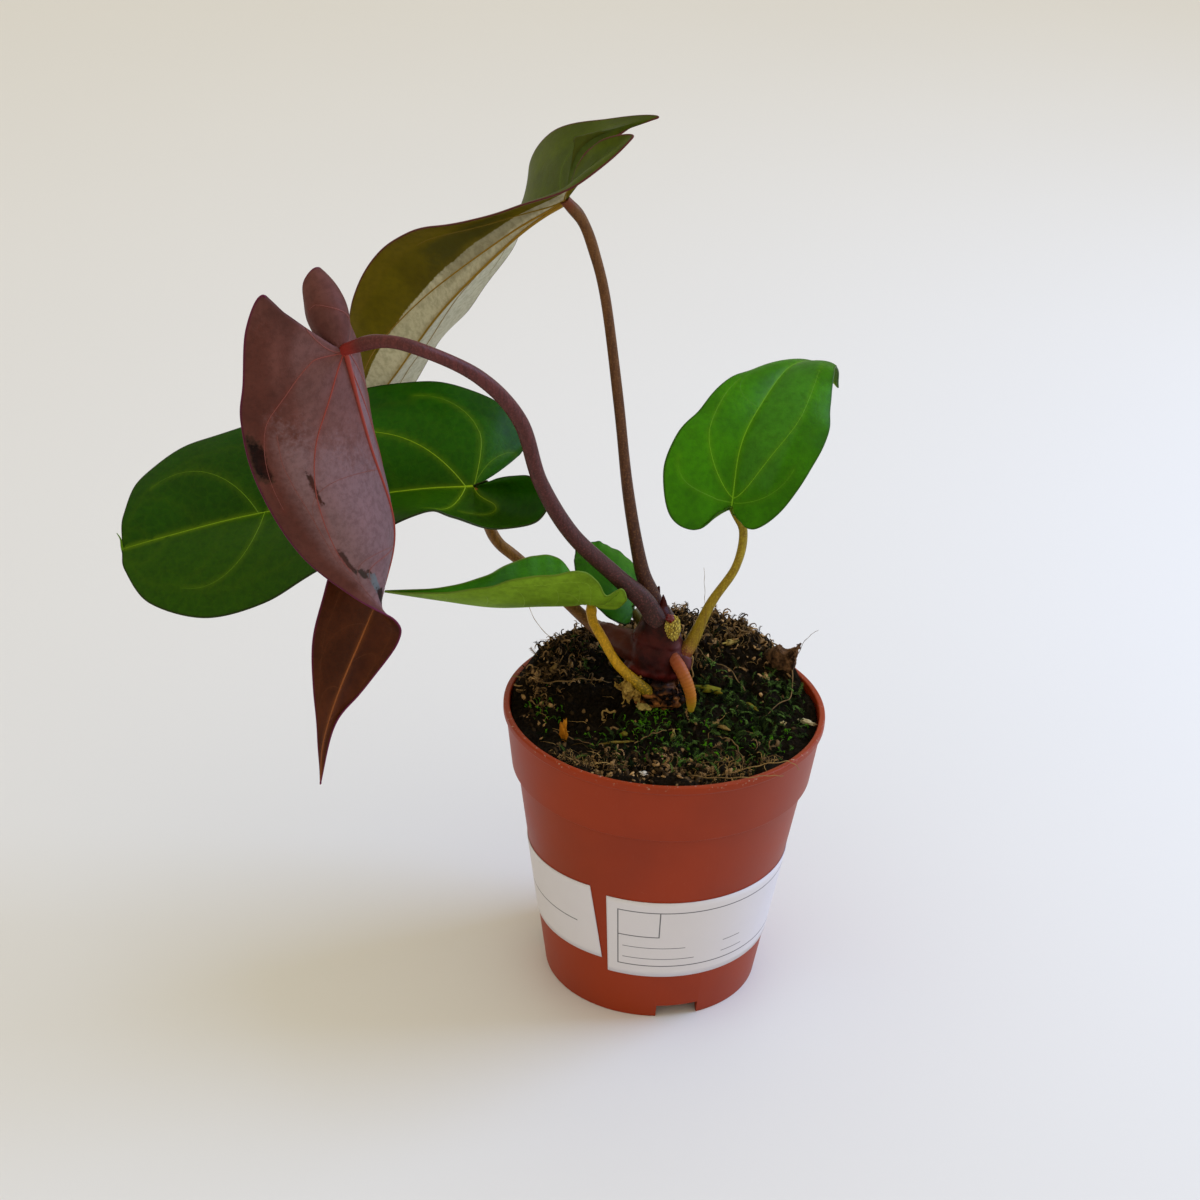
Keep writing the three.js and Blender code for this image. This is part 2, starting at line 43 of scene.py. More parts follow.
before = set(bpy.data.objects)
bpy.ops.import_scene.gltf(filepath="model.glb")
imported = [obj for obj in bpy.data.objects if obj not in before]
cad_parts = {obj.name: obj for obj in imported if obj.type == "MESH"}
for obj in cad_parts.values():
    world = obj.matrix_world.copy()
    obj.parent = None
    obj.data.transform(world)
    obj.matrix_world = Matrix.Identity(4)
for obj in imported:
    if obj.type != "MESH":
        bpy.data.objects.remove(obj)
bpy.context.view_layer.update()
POT_LOW, POT_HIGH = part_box("pot")
AXIS = np.array([(POT_LOW.x + POT_HIGH.x) / 2, (POT_LOW.y + POT_HIGH.y) / 2, 0])
RIM_RADIUS = (POT_HIGH.x - POT_LOW.x) / 2
POT_HEIGHT = POT_HIGH.z
MM = 0.001

# Leaves. midrib runs from the stalk to the tip. left and right are the margins of the two halves, seen from
# the stalk on the upper face, round the lobe to the tip. fan is the share of each margin that belongs to the
# lobe, and arch how far each half stands up between midrib and margin, as a share of its width. hubs, for a
# leaf with long lobes, are the middles of its two lobes, from which the lobes spread.
# stalk lists [x, y, z, radius] from the crown to the blade.
# Each vein of a half is (start, end, reach, bend, loop, strength): it leaves the midrib at start, a share of
# the way from the notch to the tip, ends level with end, and reaches that share of the way to the margin.
# bend is the power of its curve, loop how far it swings back towards the notch, and strength how clearly it
# shows. rim_vein is how far out the vein beside the margin runs, and side_veins how strong small veins are.
LEAVES = {
    "tall": {
        "midrib": [[-44, 5, 305], [-62, 17, 286], [-88, 38, 251], [-107, 56, 218], [-118, 66, 199],
                   [-127, 72, 181]],
        "left": [[-44, 5, 305], [-40, 9, 316], [-33, 5, 326], [-22, -2, 331], [-27, -5, 325],
                 [-40, -5, 314], [-60, 4, 302], [-77, 16, 292], [-94, 30, 284], [-106, 40, 275],
                 [-116, 48, 263], [-123, 54, 247], [-127, 62, 226], [-130, 70, 202], [-127, 72, 181]],
        "right": [[-44, 5, 305], [-38, 13, 319], [-25, 16, 327], [-14, 14, 333], [-31, 26, 328],
                  [-50, 38, 319], [-59, 48, 304], [-61, 54, 288], [-65, 60, 268], [-74, 64, 254],
                  [-83, 70, 238], [-95, 76, 221], [-103, 80, 205], [-113, 80, 190], [-127, 72, 181]],
        "fan": [0.38, 0.4],
        "hubs": [[-35, 2, 319], [-42, 20, 322]],
        "arch": [[0, 0, 0.2, 0.15, 0, 0], [0, 0, 0.05, 0, 0]],
        "stalk": [[-4, 4, 149, 3.4], [-8, 4, 158, 3.3], [-12, 4, 170, 2.6], [-17.6, 4, 198, 2.1],
                  [-22.6, 6, 232, 1.9], [-28.6, 8, 268, 1.8], [-33.6, 9, 286, 1.9], [-38, 8, 297, 1.9],
                  [-44, 5, 305, 1.9]],
        "veins": [[(0.39, 0.92, 0.44, 0.8, 0, 1), (0.38, 0.62, 0.8, 0.8, 0, 0.5),
                   (0.38, 0.22, 0.8, 1, 0, 0.5)],
                  [(0.41, 0.92, 0.46, 0.8, 0, 1), (0.4, 0.62, 0.8, 0.8, 0, 0.5),
                   (0.4, 0.23, 0.8, 1, 0, 0.5)]],
        "rim_vein": 0.82,
        "side_veins": 0.12,
    },
    "red": {
        "midrib": [[-112, -50, 267], [-105, -44, 233], [-97, -41, 202], [-99, -46, 182], [-105, -56, 166],
                   [-113, -63, 145], [-118, -65, 126], [-119, -66, 110]],
        "left": [[-112, -50, 267], [-120, -57, 274], [-129, -61, 280], [-136, -62, 290], [-141, -65, 279],
                 [-142, -67, 261], [-143, -67, 247], [-138, -67, 225], [-124, -66, 200], [-108, -64, 185],
                 [-94, -59, 173], [-93, -57, 164], [-103, -59, 148], [-114, -63, 134], [-119, -66, 110]],
        "right": [[-112, -50, 267], [-120, -46, 270], [-125, -43, 278], [-126, -40, 287], [-122, -36, 290],
                  [-119, -29, 277], [-116, -20, 258], [-117, -13, 230], [-117, -14, 208], [-117, -26, 190],
                  [-120, -42, 175], [-123, -52, 160], [-122, -59, 144], [-120, -63, 126], [-119, -66, 110]],
        "fan": [0.33, 0.42],
        "arch": [[-0.05, -0.1, -0.15, -0.3, -0.1, 0], [-0.2, -0.2, -0.15, -0.15, -0.1, 0]],
        "stalk": [[-4, -3, 149, 3.6], [-10, -3, 158, 3.6], [-20, -7, 169, 3.2], [-36, -18, 190, 2.9],
                  [-47, -30, 215, 2.7], [-54, -40, 242, 2.6], [-67, -50, 261, 2.4], [-86, -58, 273, 2.2],
                  [-99, -58, 275, 2.1], [-112, -50, 268, 2]],
        "veins": [[(0.33, 0.6, 0.75, 1.3, 0, 0.9), (0.32, 0.52, 0.92, 2.2, 0, 0.45),
                   (0.3, 0.12, 0.8, 1, 0, 0.3), (0.56, 0.62, 0.6, 1.2, 0, 0.35)],
                  [(0.42, 0.7, 0.6, 0.9, 0, 0.8), (0.41, 0.62, 0.9, 1, 0, 0.5),
                   (0.36, 0.14, 0.75, 1, 0, 0.3)]],
        "rim_vein": 0.78,
        "side_veins": 0.15,
    },
    "long": {
        "midrib": [[-74, 15, 191], [-94, 14, 189], [-126, 10, 184], [-157, 3, 179], [-184, -5, 173],
                   [-199, -9, 169]],
        "left": [[-74, 15, 191], [-64, 8, 198], [-53, -2, 204], [-45, -9, 200], [-49, -15, 193],
                 [-63, -18, 191], [-77, -22, 196], [-85, -24, 199], [-96, -27, 196], [-125, -28, 175],
                 [-144, -30, 162], [-165, -31, 155], [-186, -26, 157], [-197, -15, 164], [-199, -9, 169]],
        "right": [[-74, 15, 191], [-68, 24, 193], [-59, 32, 197], [-58, 37, 202], [-68, 44, 212],
                  [-90, 46, 218], [-112, 45, 216], [-142, 40, 208], [-162, 34, 201], [-182, 26, 195],
                  [-197, 14, 186], [-200, 0, 178], [-199, -9, 169]],
        "fan": [0.38, 0.36],
        "arch": [[0, 0, -0.12, -0.05, 0.1, 0.08, 0.05], [0, 0.05, 0.1, 0.1, 0.1, 0.05]],
        "stalk": [[-10, 1, 133, 4], [-20, 9, 135, 4.2], [-29, 17, 136, 2.6], [-39, 26, 140, 2.3],
                  [-58, 33, 153, 2.2], [-66, 31, 161, 2.2], [-70, 26, 172, 2.1], [-74, 15, 191, 2]],
        "veins": [[(0.4, 0.51, 0.68, 1.2, 0, 0.9), (0.36, 0.41, 0.46, 1, 0.09, 0.8),
                   (0.72, 0.82, 0.74, 2, 0, 0.45)],
                  [(0.38, 0.62, 0.66, 1, 0, 0.9), (0.345, 0.46, 0.84, 2.5, 0, 0.6),
                   (0.32, 0.2, 0.8, 1, 0, 0.3), (0.72, 0.83, 0.76, 2, 0, 0.45)]],
        "rim_vein": 0.77,
        "side_veins": 0.12,
    },
    "low": {
        "midrib": [[-29, 3, 153], [-36, -2, 154], [-47, -6, 155], [-64, -9, 155], [-83, -12, 158],
                   [-103, -14, 161]],
        "left": [[-29, 3, 153], [-21, -4, 154], [-16, -11, 162], [-18, -13, 167], [-23, -14, 165],
                 [-27, -17, 172], [-33, -20, 177], [-42, -21, 175], [-55, -21, 173], [-66, -20, 168],
                 [-83, -18, 164], [-103, -14, 161]],
        "right": [[-29, 3, 153], [-26, 11, 150], [-28, 16, 149], [-35, 19, 153], [-43, 21, 161],
                  [-51, 17, 163], [-60, 9, 163], [-68, 0, 162], [-82, -9, 161], [-103, -14, 161]],
        "fan": [0.36, 0.3],
        "arch": [[-0.1, -0.1, -0.1, 0], [-0.1, -0.1, -0.1, 0]],
        "stalk": [[-3, -10, 121, 2.4], [-10, -12, 128, 2.1], [-18, -9, 134, 1.8], [-24, -5, 142, 1.8],
                  [-28, -1, 147, 1.8], [-29, 2, 152, 1.7]],
        "veins": [[(0.37, 0.6, 0.6, 0.9, 0, 0.6), (0.36, 0.5, 0.86, 1, 0, 0.35)],
                  [(0.33, 0.6, 0.6, 0.9, 0, 0.6), (0.32, 0.5, 0.84, 1, 0, 0.35)]],
        "rim_vein": 0.84,
        "side_veins": 0.15,
    },
    "right": {
        "midrib": [[20, 12, 190], [22, 20, 211], [29, 33, 223], [39, 52, 230], [50, 66, 226], [59, 76, 213]],
        "left": [[20, 12, 190], [15, 8, 189], [7, 4, 184], [-2, 3, 190], [-5, 8, 205], [-1, 16, 216],
                 [6, 24, 222], [14, 36, 228], [25, 48, 230], [37, 62, 228], [49, 72, 224], [59, 76, 213]],
        "right": [[20, 12, 190], [23, 9, 186], [29, 6, 185], [38, 8, 192], [47, 14, 205], [53, 24, 215],
                  [54, 36, 223], [55, 50, 230], [57, 62, 227], [59, 76, 213]],
        "fan": [0.36, 0.33],
        "arch": [[0.05, 0.05, 0.05, 0.1, 0.1], [0.05, 0.05, 0.08, 0.1, 0.1]],
        "stalk": [[3, -3, 129, 3.2], [6, -2, 136, 3], [9, 0, 141, 2.5], [15, 2, 156, 1.8],
                  [23, 6, 169, 1.6], [25, 13, 180, 1.6], [20.5, 13.6, 189.6, 1.6]],
        "veins": [[(0.38, 0.66, 0.78, 1.5, 0, 0.9), (0.37, 0.41, 0.86, 2.5, 0.02, 0.5),
                   (0.6, 0.7, 0.75, 2, 0, 0.2)],
                  [(0.35, 0.78, 0.66, 1.8, 0, 0.9), (0.34, 0.44, 0.8, 2.2, 0, 0.5)]],
        "rim_vein": 0.83,
        "side_veins": 0.14,
    },
    "back": {
        "midrib": [[-14, 24, 141], [-19, 32, 150], [-28, 38, 154], [-37, 40, 155]],
        "left": [[-14, 24, 141], [-15, 18, 137], [-21, 16, 139], [-29, 18, 145], [-35, 26, 150],
                 [-37, 34, 153], [-37, 40, 155]],
        "right": [[-14, 24, 141], [-10, 30, 141], [-8, 38, 145], [-16, 44, 150], [-25, 46, 155],
                  [-31, 44, 157], [-37, 40, 155]],
        "fan": [0.4, 0.3],
        "arch": [[0.05, 0.05, 0.05], [0.05, 0.05, 0.05]],
        "stalk": [[-5, 5, 132, 2.4], [-6, 13, 131, 2.2], [-9, 21, 133, 2], [-13.6, 23.4, 139.6, 1.6]],
        "veins": [[(0.41, 0.66, 0.6, 0.9, 0, 0.5)], [(0.32, 0.6, 0.6, 0.9, 0, 0.5)]],
        "rim_vein": 0.85,
        "side_veins": 0.1,
    },
}

# Finish of each leaf: colours of the upper face, the under face, the veins on each, the margin line, the
# stalk at its foot and further up, the light that the blade lets through, and the joint of stalk and blade
LEAF_PARTS = ("upper", "under", "upper_vein", "under_vein", "edge", "stalk_low", "stalk_high", "glow",
              "joint")
LEAF_COLOURS = {
    "tall": [(0.07, 0.11, 0.004), (0.15, 0.115, 0.004), (0.14, 0.2, 0.01),
             (0.3, 0.17, 0.015), (0.1, 0.02, 0.018), (0.05, 0.018, 0.016),
             (0.14, 0.06, 0.018), (0.34, 0.3, 0.01), (0.15, 0.035, 0.014)],
    "red": [(0.085, 0.022, 0.008), (0.185, 0.07, 0.06), (0.34, 0.1, 0.02),
            (0.3, 0.045, 0.03), (0.12, 0.012, 0.05), (0.045, 0.02, 0.018),
            (0.11, 0.028, 0.026), (0.2, 0.05, 0.02), (0.3, 0.028, 0.02)],
    "long": [(0.016, 0.1, 0.0004), (0.07, 0.11, 0.02), (0.28, 0.44, 0.004),
             (0.12, 0.15, 0.03), (0.02, 0.03, 0.004), (0.06, 0.016, 0.009),
             (0.22, 0.1, 0.02), (0.04, 0.15, 0.001), (0.28, 0.12, 0.015)],
    "low": [(0.07, 0.32, 0.003), (0.24, 0.42, 0.024), (0.1, 0.32, 0.004),
            (0.22, 0.34, 0.03), (0.13, 0.22, 0.015), (0.15, 0.115, 0.008),
            (0.52, 0.28, 0.008), (0.14, 0.3, 0.003), (0.4, 0.26, 0.01)],
    "right": [(0.05, 0.215, 0.0004), (0.13, 0.26, 0.012), (0.16, 0.38, 0.004),
              (0.2, 0.3, 0.02), (0.03, 0.09, 0.003), (0.17, 0.03, 0.02),
              (0.28, 0.2, 0.012), (0.12, 0.42, 0.001), (0.2, 0.16, 0.01)],
    "back": [(0.035, 0.18, 0.001), (0.06, 0.11, 0.02), (0.06, 0.22, 0.004),
             (0.12, 0.17, 0.03), (0.014, 0.05, 0.004), (0.03, 0.012, 0.008),
             (0.08, 0.07, 0.01), (0.08, 0.28, 0.002), (0.1, 0.08, 0.01)],
}

# Patches of another colour on a face: (face, across, along, blur, colour, strength). Most are the leaf's own
# marks; the pale ones marked below are painted sheen. across runs from -1 at the left margin to 1 at the
# right one, and along from the notch to the tip.
LEAF_PATCHES_AND_SHEEN = {
    "tall": [
        # painted reflection: the pale zone over the midrib and the right half of the under face
        ("under", (-0.33, 1.2), (0.36, 1.2), 0.02, (0.8, 0.76, 0.54), 0.9),
        ("under", (-0.33, -0.18), (0.4, 0.6), 0.08, (0.12, 0.09, 0.02), 0.4),
        ("under", (-0.66, -0.46), (0.5, 0.6), 0.12, (0.05, 0.055, 0.012), 0.7),
        ("under", (-1.1, -0.85), (0.5, 0.9), 0.1, (0.2, 0.14, 0.01), 0.5),
        ("under", (0.0, 1.2), (-0.2, 0.34), 0.05, (0.06, 0.09, 0.01), 0.9),
        ("upper", (-0.5, 0.5), (0.0, 0.4), 0.2, (0.045, 0.08, 0.016), 0.6),
    ],
    "red": [
        ("under", (-1.1, -0.86), (0.3, 0.62), 0.16, (0.12, 0.035, 0.025), 0.6),
        # painted sheen: a pale lilac zone low on the under face
        ("under", (-0.7, 0.1), (0.46, 0.9), 0.2, (0.32, 0.2, 0.22), 0.75),
        # painted sheen: a pinkish lilac zone near the top of the under face, at the left
        ("under", (-0.5, -0.05), (0.2, 0.42), 0.14, (0.26, 0.13, 0.125), 0.6),
        ("under", (-0.98, -0.9), (0.452, 0.486), 0.03, (0.05, 0.03, 0.02), 0.85),
        ("under", (-0.97, -0.9), (0.455, 0.482), 0.015, (0.004, 0.003, 0.003), 0.95),
        ("under", (-0.66, -0.64), (0.468, 0.5), 0.018, (0.02, 0.01, 0.005), 0.9),
        ("under", (-0.73, -0.7), (0.565, 0.6), 0.018, (0.02, 0.025, 0.022), 0.9),
        ("under", (-0.68, -0.55), (0.6, 0.612), 0.018, (0.03, 0.035, 0.03), 0.9),
        ("under", (-0.6, -0.5), (0.61, 0.635), 0.025, (0.17, 0.22, 0.25), 0.9),
        ("under", (-0.57, -0.4), (0.638, 0.668), 0.025, (0.012, 0.012, 0.01), 0.92),
    ],
    "long": [
        ("upper", (-1.2, 1.2), (0.72, 1.2), 0.2, (0.024, 0.07, 0.0005), 0.55),
        ("upper", (-0.3, 0.6), (0.1, 0.5), 0.2, (0.03, 0.15, 0.0005), 0.6),
        ("upper", (-1.3, -0.1), (0.35, 1.1), 0.3, (0.036, 0.11, 0.0005), 0.6),
    ],
    # painted sheen: the pale band between the midrib and the right inner vein
    "right": [("upper", (0.12, 0.55), (0.4, 0.8), 0.12, (0.07, 0.22, 0.03), 0.35)],
}
# From where to where along its stalk the colour of each foot reaches, as a share of the stalk
STALK_FLUSH = {"tall": (0, 0.85), "red": (0, 0.85), "long": (0, 0.6), "low": (0.1, 0.45),
               "right": (0.13, 0.42), "back": (0, 0.8)}
# Slot of each blade and stalk
BLADE_SLOTS = {"tall": "blade_olive", "red": "blade_red", "long": "blade_dark_green",
               "low": "blade_light_green", "right": "blade_mid_green", "back": "blade_dark_green"}
STALK_SLOTS = {"tall": "stalk_brown", "red": "stalk_purple", "long": "stalk_orange",
               "low": "stalk_yellow", "right": "stalk_olive", "back": "stalk_olive"}
# How thick each midrib is beside the general one
MIDRIB_SHARE = {"tall": 1.0, "red": 1.05, "long": 1.35, "low": 0.7, "right": 0.9, "back": 0.5}


def colour(label, description, default):
    """A colour that a user may change"""
    return FloatVectorProperty(name=label, description=description, default=default, subtype="COLOR",
                               size=3, min=0, max=1)


def length(label, description, default):
    """A length in metres that a user may change"""
    return FloatProperty(name=label, description=description, default=default, unit="LENGTH", min=0)


class LeafSettings(bpy.types.PropertyGroup):
    """Sizes of the blades, veins and stalks, and the colours of each leaf"""

    __annotations__ = {
        "thickness": length("Blade thickness", "Thickness of a leaf blade", 0.6 * MM),
        "rows": IntProperty(name="Rows", description="Faces along each half of a blade", default=130, min=8),
        "columns": IntProperty(name="Columns", description="Faces across a half", default=34, min=4),
        "ripple": length("Ripple", "Height of the small waves near the margins", 0.25 * MM),
        "midrib": length("Midrib radius", "Radius of the midrib near the stalk", 0.62 * MM),
        "vein": length("Vein radius", "Radius of a main vein at its start", 0.42 * MM),
        "laterals": IntProperty(name="Side veins", description="Veins on each side of a midrib", default=5),
        **{
            f"{leaf}_{part}": colour(f"{leaf} {part}".replace("_", " ").capitalize(),
                                     f"Colour of the {part.replace('_', ' ')} of the {leaf} leaf", value)
            for leaf, values in LEAF_COLOURS.items()
            for part, value in zip(LEAF_PARTS, values)
        },
    }


class PotSettings(bpy.types.PropertyGroup):
    """Sizes and colours of the pot and its labels"""

    segments: IntProperty(name="Segments", description="Faces round the pot", default=192, min=24)
    foot_radius: length("Foot radius", "Outer radius at the foot", 40.9 * MM)
    body_top_radius: length("Body radius", "Outer radius under the collar", 54.2 * MM)
    collar_height: length("Collar height", "Height of the collar's lower edge", 88.7 * MM)
    collar_low_radius: length("Collar low radius", "Outer radius at the collar's lower edge", 56.4 * MM)
    collar_top_radius: length("Collar top radius", "Outer radius under the lip", 59 * MM)
    wall: length("Wall", "Thickness of the pot's wall", 1.2 * MM)
    plastic: colour("Plastic", "Colour of the pot", (0.29, 0.03, 0.003))
    label: colour("Label", "Colour of the label film", (0.7, 0.67, 0.7))
    print: colour("Print", "Colour of the lines printed on the labels", (0.03, 0.035, 0.045))


class MixSettings(bpy.types.PropertyGroup):
    """The potting mix, its moss and its fibres"""

    seed: IntProperty(name="Seed", description="Seed of every random draw", default=4)
    edge_height: length("Edge height", "Height of the mix at the pot's wall", 110 * MM)
    clods: length("Clods", "Height of the clods of the mix", 5.5 * MM)
    earth: colour("Earth", "Colour of the damp mix", (0.009, 0.006, 0.003))
    moss: colour("Moss", "Colour of the dark moss", (0.034, 0.06, 0.011))
    bright_moss: colour("Bright moss", "Colour of the youngest moss", (0.13, 0.42, 0.008))
    litter: colour("Litter", "Colour of the brown crumbled fibre", (0.12, 0.07, 0.028))
    fibre: colour("Fibre", "Colour of the dry fibres", (0.34, 0.21, 0.07))


class StageSettings(bpy.types.PropertyGroup):
    """Camera, floor and light"""

    distance: length("Distance", "How far the camera stands in front of the pot", 809.5 * MM)
    height: length("Height", "Height of the camera", 578.1 * MM)
    lens: FloatProperty(name="Lens", description="Focal length in millimetres", default=75, min=10)
    floor: colour("Floor", "Colour of the floor", (0.78, 0.77, 0.75))


# Heaps of the mix: (height, x, y, spread across, spread towards the back)
HEAPS = [(8, 2, 5, 22, 22), (15, 8, 44, 26, 16), (7, 36, 37, 9, 10), (9, -37, 35, 9, 9), (9, -49, 17, 7, 11),
         (3, 0, -13, 10, 6)]
# The slow waves of the mix: their height, and how fast they turn with the distance
LUMP_HEIGHT = 0.55
LUMP_RATE = 0.36

# What covers the mix: for each kind, patches of (x, y, reach across, reach towards the back, share covered)
COVER = {
    "moss_dark": [(27, -4, 22, 21, 1.0), (4, -30, 24, 10, 0.65), (-28, 22, 12, 9, 0.25),
                  (46, 14, 8, 14, 0.6)],
    "moss_bright": [(-3, -18, 6, 5, 2.2), (12, -31, 18, 8, 0.25), (-24, -22, 9, 6, 0.12),
                    (-46, -3, 6, 8, 0.35), (40, -18, 12, 10, 0.2)],
    "moss_brown": [(5, 42, 40, 16, 0.9), (-46, 20, 10, 18, 1.2), (-14, -41, 34, 7, 0.8),
                   (32, -38, 18, 9, 0.7), (20, 22, 22, 10, 0.35)],
    "crumbs": [(8, 43, 46, 14, 1.0), (0, -45, 46, 7, 1.0), (-48, -6, 7, 24, 0.25), (0, 0, 60, 60, 0.06)],
    "flakes": [(8, 43, 46, 14, 1.0), (-48, 16, 9, 18, 0.5), (0, -43, 44, 9, 0.6), (0, 0, 60, 60, 0.05)],
    "bristles": [(-43, 27, 12, 13, 1.8), (-52, 8, 5, 12, 1.2), (8, 46, 26, 10, 0.8), (34, 40, 14, 8, 1.0)],
    "fibres": [(0, 36, 44, 16, 0.6), (28, -35, 16, 7, 1.3), (-26, -38, 12, 7, 1.0), (0, 0, 50, 50, 0.14)],
    "tufts": [(30, -38, 13, 6, 1.4), (-28, -41, 12, 5, 1.5), (16, 38, 16, 8, 0.3)],
}

# Thin roots and hairs on the mix: points (x, y, height over the mix), radius, and how pale each is
STRANDS = [
    ([(-57.5, 8, 3.6), (-45, 5, 2.5), (-32, 7, 2.0), (-20, 12, 0.5)], 0.3, 0.6),
    ([(40, 38, 0), (46, 30, 2.6), (48, 15, 3.2), (42, 4, 3.0), (37, -3, 0.4)], 0.28, 0.55),
    ([(9, -4, 19), (9.6, -4.5, 12), (9.3, -5, 7), (9.8, -5.5, 0)], 0.35, 0.7),
    ([(8, -14, 3.6), (8.6, -15, 1.6), (9.4, -18, 0)], 0.3, 0.6),
    ([(-18, -10, 2.6), (-21.6, -9, 2.4), (-22.4, -10, 0.8), (-21, -12, 0)], 0.45, 0.95),
    ([(-40, 34, 0), (-46, 41, 6), (-52, 47, 10), (-56, 52, 15), (-55, 57, 19)], 0.14, 0.9),
    ([(44, 28, 0), (49, 37, 6), (53, 45, 9), (56, 47, 12), (58, 49, 14)], 0.13, 0.3),
    ([(14, 36, 2), (13, 37, 14), (12, 38, 26)], 0.12, 0.8),
    ([(22, -44, 1), (34, -42, 4.5), (45, -39, 4.2), (50, -38, 2)], 0.22, 0.75),
    ([(10, -46, 1), (24, -50, 4), (36, -50, 5.5), (44, -46, 3)], 0.2, 0.7),
    ([(-10, -28, 0.5), (-3, -24, 2.6), (6, -20, 1)], 0.22, 0.65),
    ([(20, -20, 0.5), (26, -26, 3), (30, -34, 1)], 0.25, 0.6),
    ([(-40, -20, 0.5), (-33, -27, 3), (-24, -30, 1)], 0.22, 0.5),
    ([(30, 10, 1), (24, 16, 3.4), (16, 19, 2), (10, 26, 1)], 0.24, 0.6),
]

# Loose bits on the mix: (x, y, height over the mix, size along, across and up, turn in degrees, shade)
BITS = [
    (-36, -25, 3.2, 1.2, 2.4, 4.6, 20, 0.0), (15.5, 4.5, 1.4, 5.0, 1.5, 1.3, -10, 0.3),
    (32, 3, 1.6, 3.4, 1.0, 0.9, -40, 0.34), (-6, -46, 0.8, 1.5, 1.0, 0.5, 10, 1.0),
    (53, -3, 1.2, 3.2, 1.0, 0.8, -25, 0.86), (-7, -12.5, 2.0, 2.3, 2.0, 1.2, 30, 0.7),
    (-9, -11, 2.2, 1.4, 1.2, 1.3, 80, 0.75), (20, -14, 0.9, 4.2, 0.9, 0.8, -30, 0.6),
    (4, -24, 2.0, 0.7, 0.7, 3.2, 15, 0.66), (-16, -31, 1.2, 5.2, 0.5, 0.5, 15, 0.4),
    (44, -8, 0.9, 1.2, 1.0, 0.8, 0, 0.8), (-14, -23, 1.6, 1.2, 1.0, 0.9, 0, 0.36),
    (-42, 14, 1.2, 2.4, 0.8, 0.7, 60, 0.55), (24, 30, 1.4, 3.4, 1.0, 0.8, 35, 0.72),
]


def times(share, tint):
    """The colour, darker or brighter by a share"""
    return tuple(min(1.0, share * value) for value in tint)


def leaf_tint(leaf, part):
    """The colour that the settings give one part of a leaf"""
    return tuple(getattr(bpy.context.scene.plant_leaves, f"{leaf}_{part}"))


# Curves and surfaces


def placed(points):
    """Points given in millimetres from the middle of the pot's foot, in metres in the frame"""
    return np.asarray(points, float) * MM + AXIS


def spline(points, t):
    """A smooth curve through the points, read at each t from 0 to 1"""
    points = np.asarray(points, float)
    ends = np.vstack([2 * points[0] - points[1], points, 2 * points[-1] - points[-2]])
    place = np.clip(np.asarray(t, float), 0, 1) * (len(points) - 1)
    first = np.minimum(place.astype(int), len(points) - 2)
    x = (place - first)[..., None]
    before, start, stop, after = (ends[first + k] for k in range(4))
    leave, arrive = (stop - before) / 2, (after - start) / 2
    return ((2 * x**3 - 3 * x**2 + 1) * start + (x**3 - 2 * x**2 + x) * leave
            + (3 * x**2 - 2 * x**3) * stop + (x**3 - x**2) * arrive)


def traced(run, t):
    """Centres and radii in metres, at each t, along a run of [x, y, z, radius] in millimetres"""
    line = spline(run, t)
    return placed(line[:, :3]), line[:, 3] * MM


def unit(vectors):
    """Vectors of length 1 in the same directions"""
    return vectors / np.maximum(np.linalg.norm(vectors, axis=-1, keepdims=True), 1e-12)


def half_blade(leaf, side, u, w):
    """Points of a half blade's upper face in millimetres: u runs along it and w from midrib to margin"""
    half = 0 if side < 0 else 1
    share = leaf["fan"][half]
    margin = leaf["left" if side < 0 else "right"]
    notch = np.array(leaf["midrib"][0])
    to_hub = np.array(leaf.get("hubs", (notch, notch))[half]) - notch
    step = 1e-3

    def rib(at):
        spread = np.sin(np.pi * np.clip(at / share, 0, 1))[..., None] ** 2
        return spline(leaf["midrib"], (at - share) / (1 - share)) + spread * to_hub

    start = rib(u)
    chord = spline(margin, u) - start
    before, after = np.clip(u - step, 0, 1), np.clip(u + step, 0, 1)
    advance = spline(margin, after) - spline(margin, before) + rib(after) - rib(before)
    rise = unit(np.cross(chord, advance)) * side * np.linalg.norm(chord, axis=-1, keepdims=True)
    arch = spline([[value] for value in leaf["arch"][half]], u)
    w = w[..., None]
    return start + chord * w + rise * arch * 4 * w * (1 - w)


def blade_face(leaf, side, u, w):
    """Points of the upper face in metres, rippled near the margin, and the directions straight out of it"""
    step = 4e-3
    near, far = np.clip(w - step, 0, 1), np.clip(w + step, 0, 1)
    before, after = np.clip(u - step, 0, 1), np.clip(u + step, 0, 1)
    inner = np.clip(w, 0.02, 1)
    across = half_blade(leaf, side, u, far) - half_blade(leaf, side, u, near)
    along = half_blade(leaf, side, after, inner) - half_blade(leaf, side, before, inner)
    out = unit(np.cross(across, along)) * side
    ripple = bpy.context.scene.plant_leaves.ripple
    wave = np.sin(2 * np.pi * (5.3 * u + 0.2 * side)) + 0.6 * np.sin(2 * np.pi * (11.7 * u + 0.37))
    points = placed(half_blade(leaf, side, u, w)) + out * (ripple * wave * w**3)[..., None]
    return points, out


# Meshes


def add_piece(name, mesh):
    """A new object that shows the mesh"""
    piece = bpy.data.objects.new(name, mesh)
    bpy.context.scene.collection.objects.link(piece)
    return piece


def store(mesh, **attributes):
    """Writes a number per point of the mesh for each attribute"""
    for key, values in attributes.items():
        layer = mesh.attributes.new(key, "FLOAT", "POINT")
        layer.data.foreach_set("value", np.asarray(values, np.float32).ravel())


def mesh_of(name, points, faces=(), edges=(), **attributes):
    """A smooth mesh with numbers stored on its points"""
    mesh = bpy.data.meshes.new(name)
    mesh.from_pydata(np.asarray(points, float).tolist(), list(edges), list(faces))
    store(mesh, **attributes)
    if len(mesh.polygons):
        mesh.shade_smooth()
    return mesh


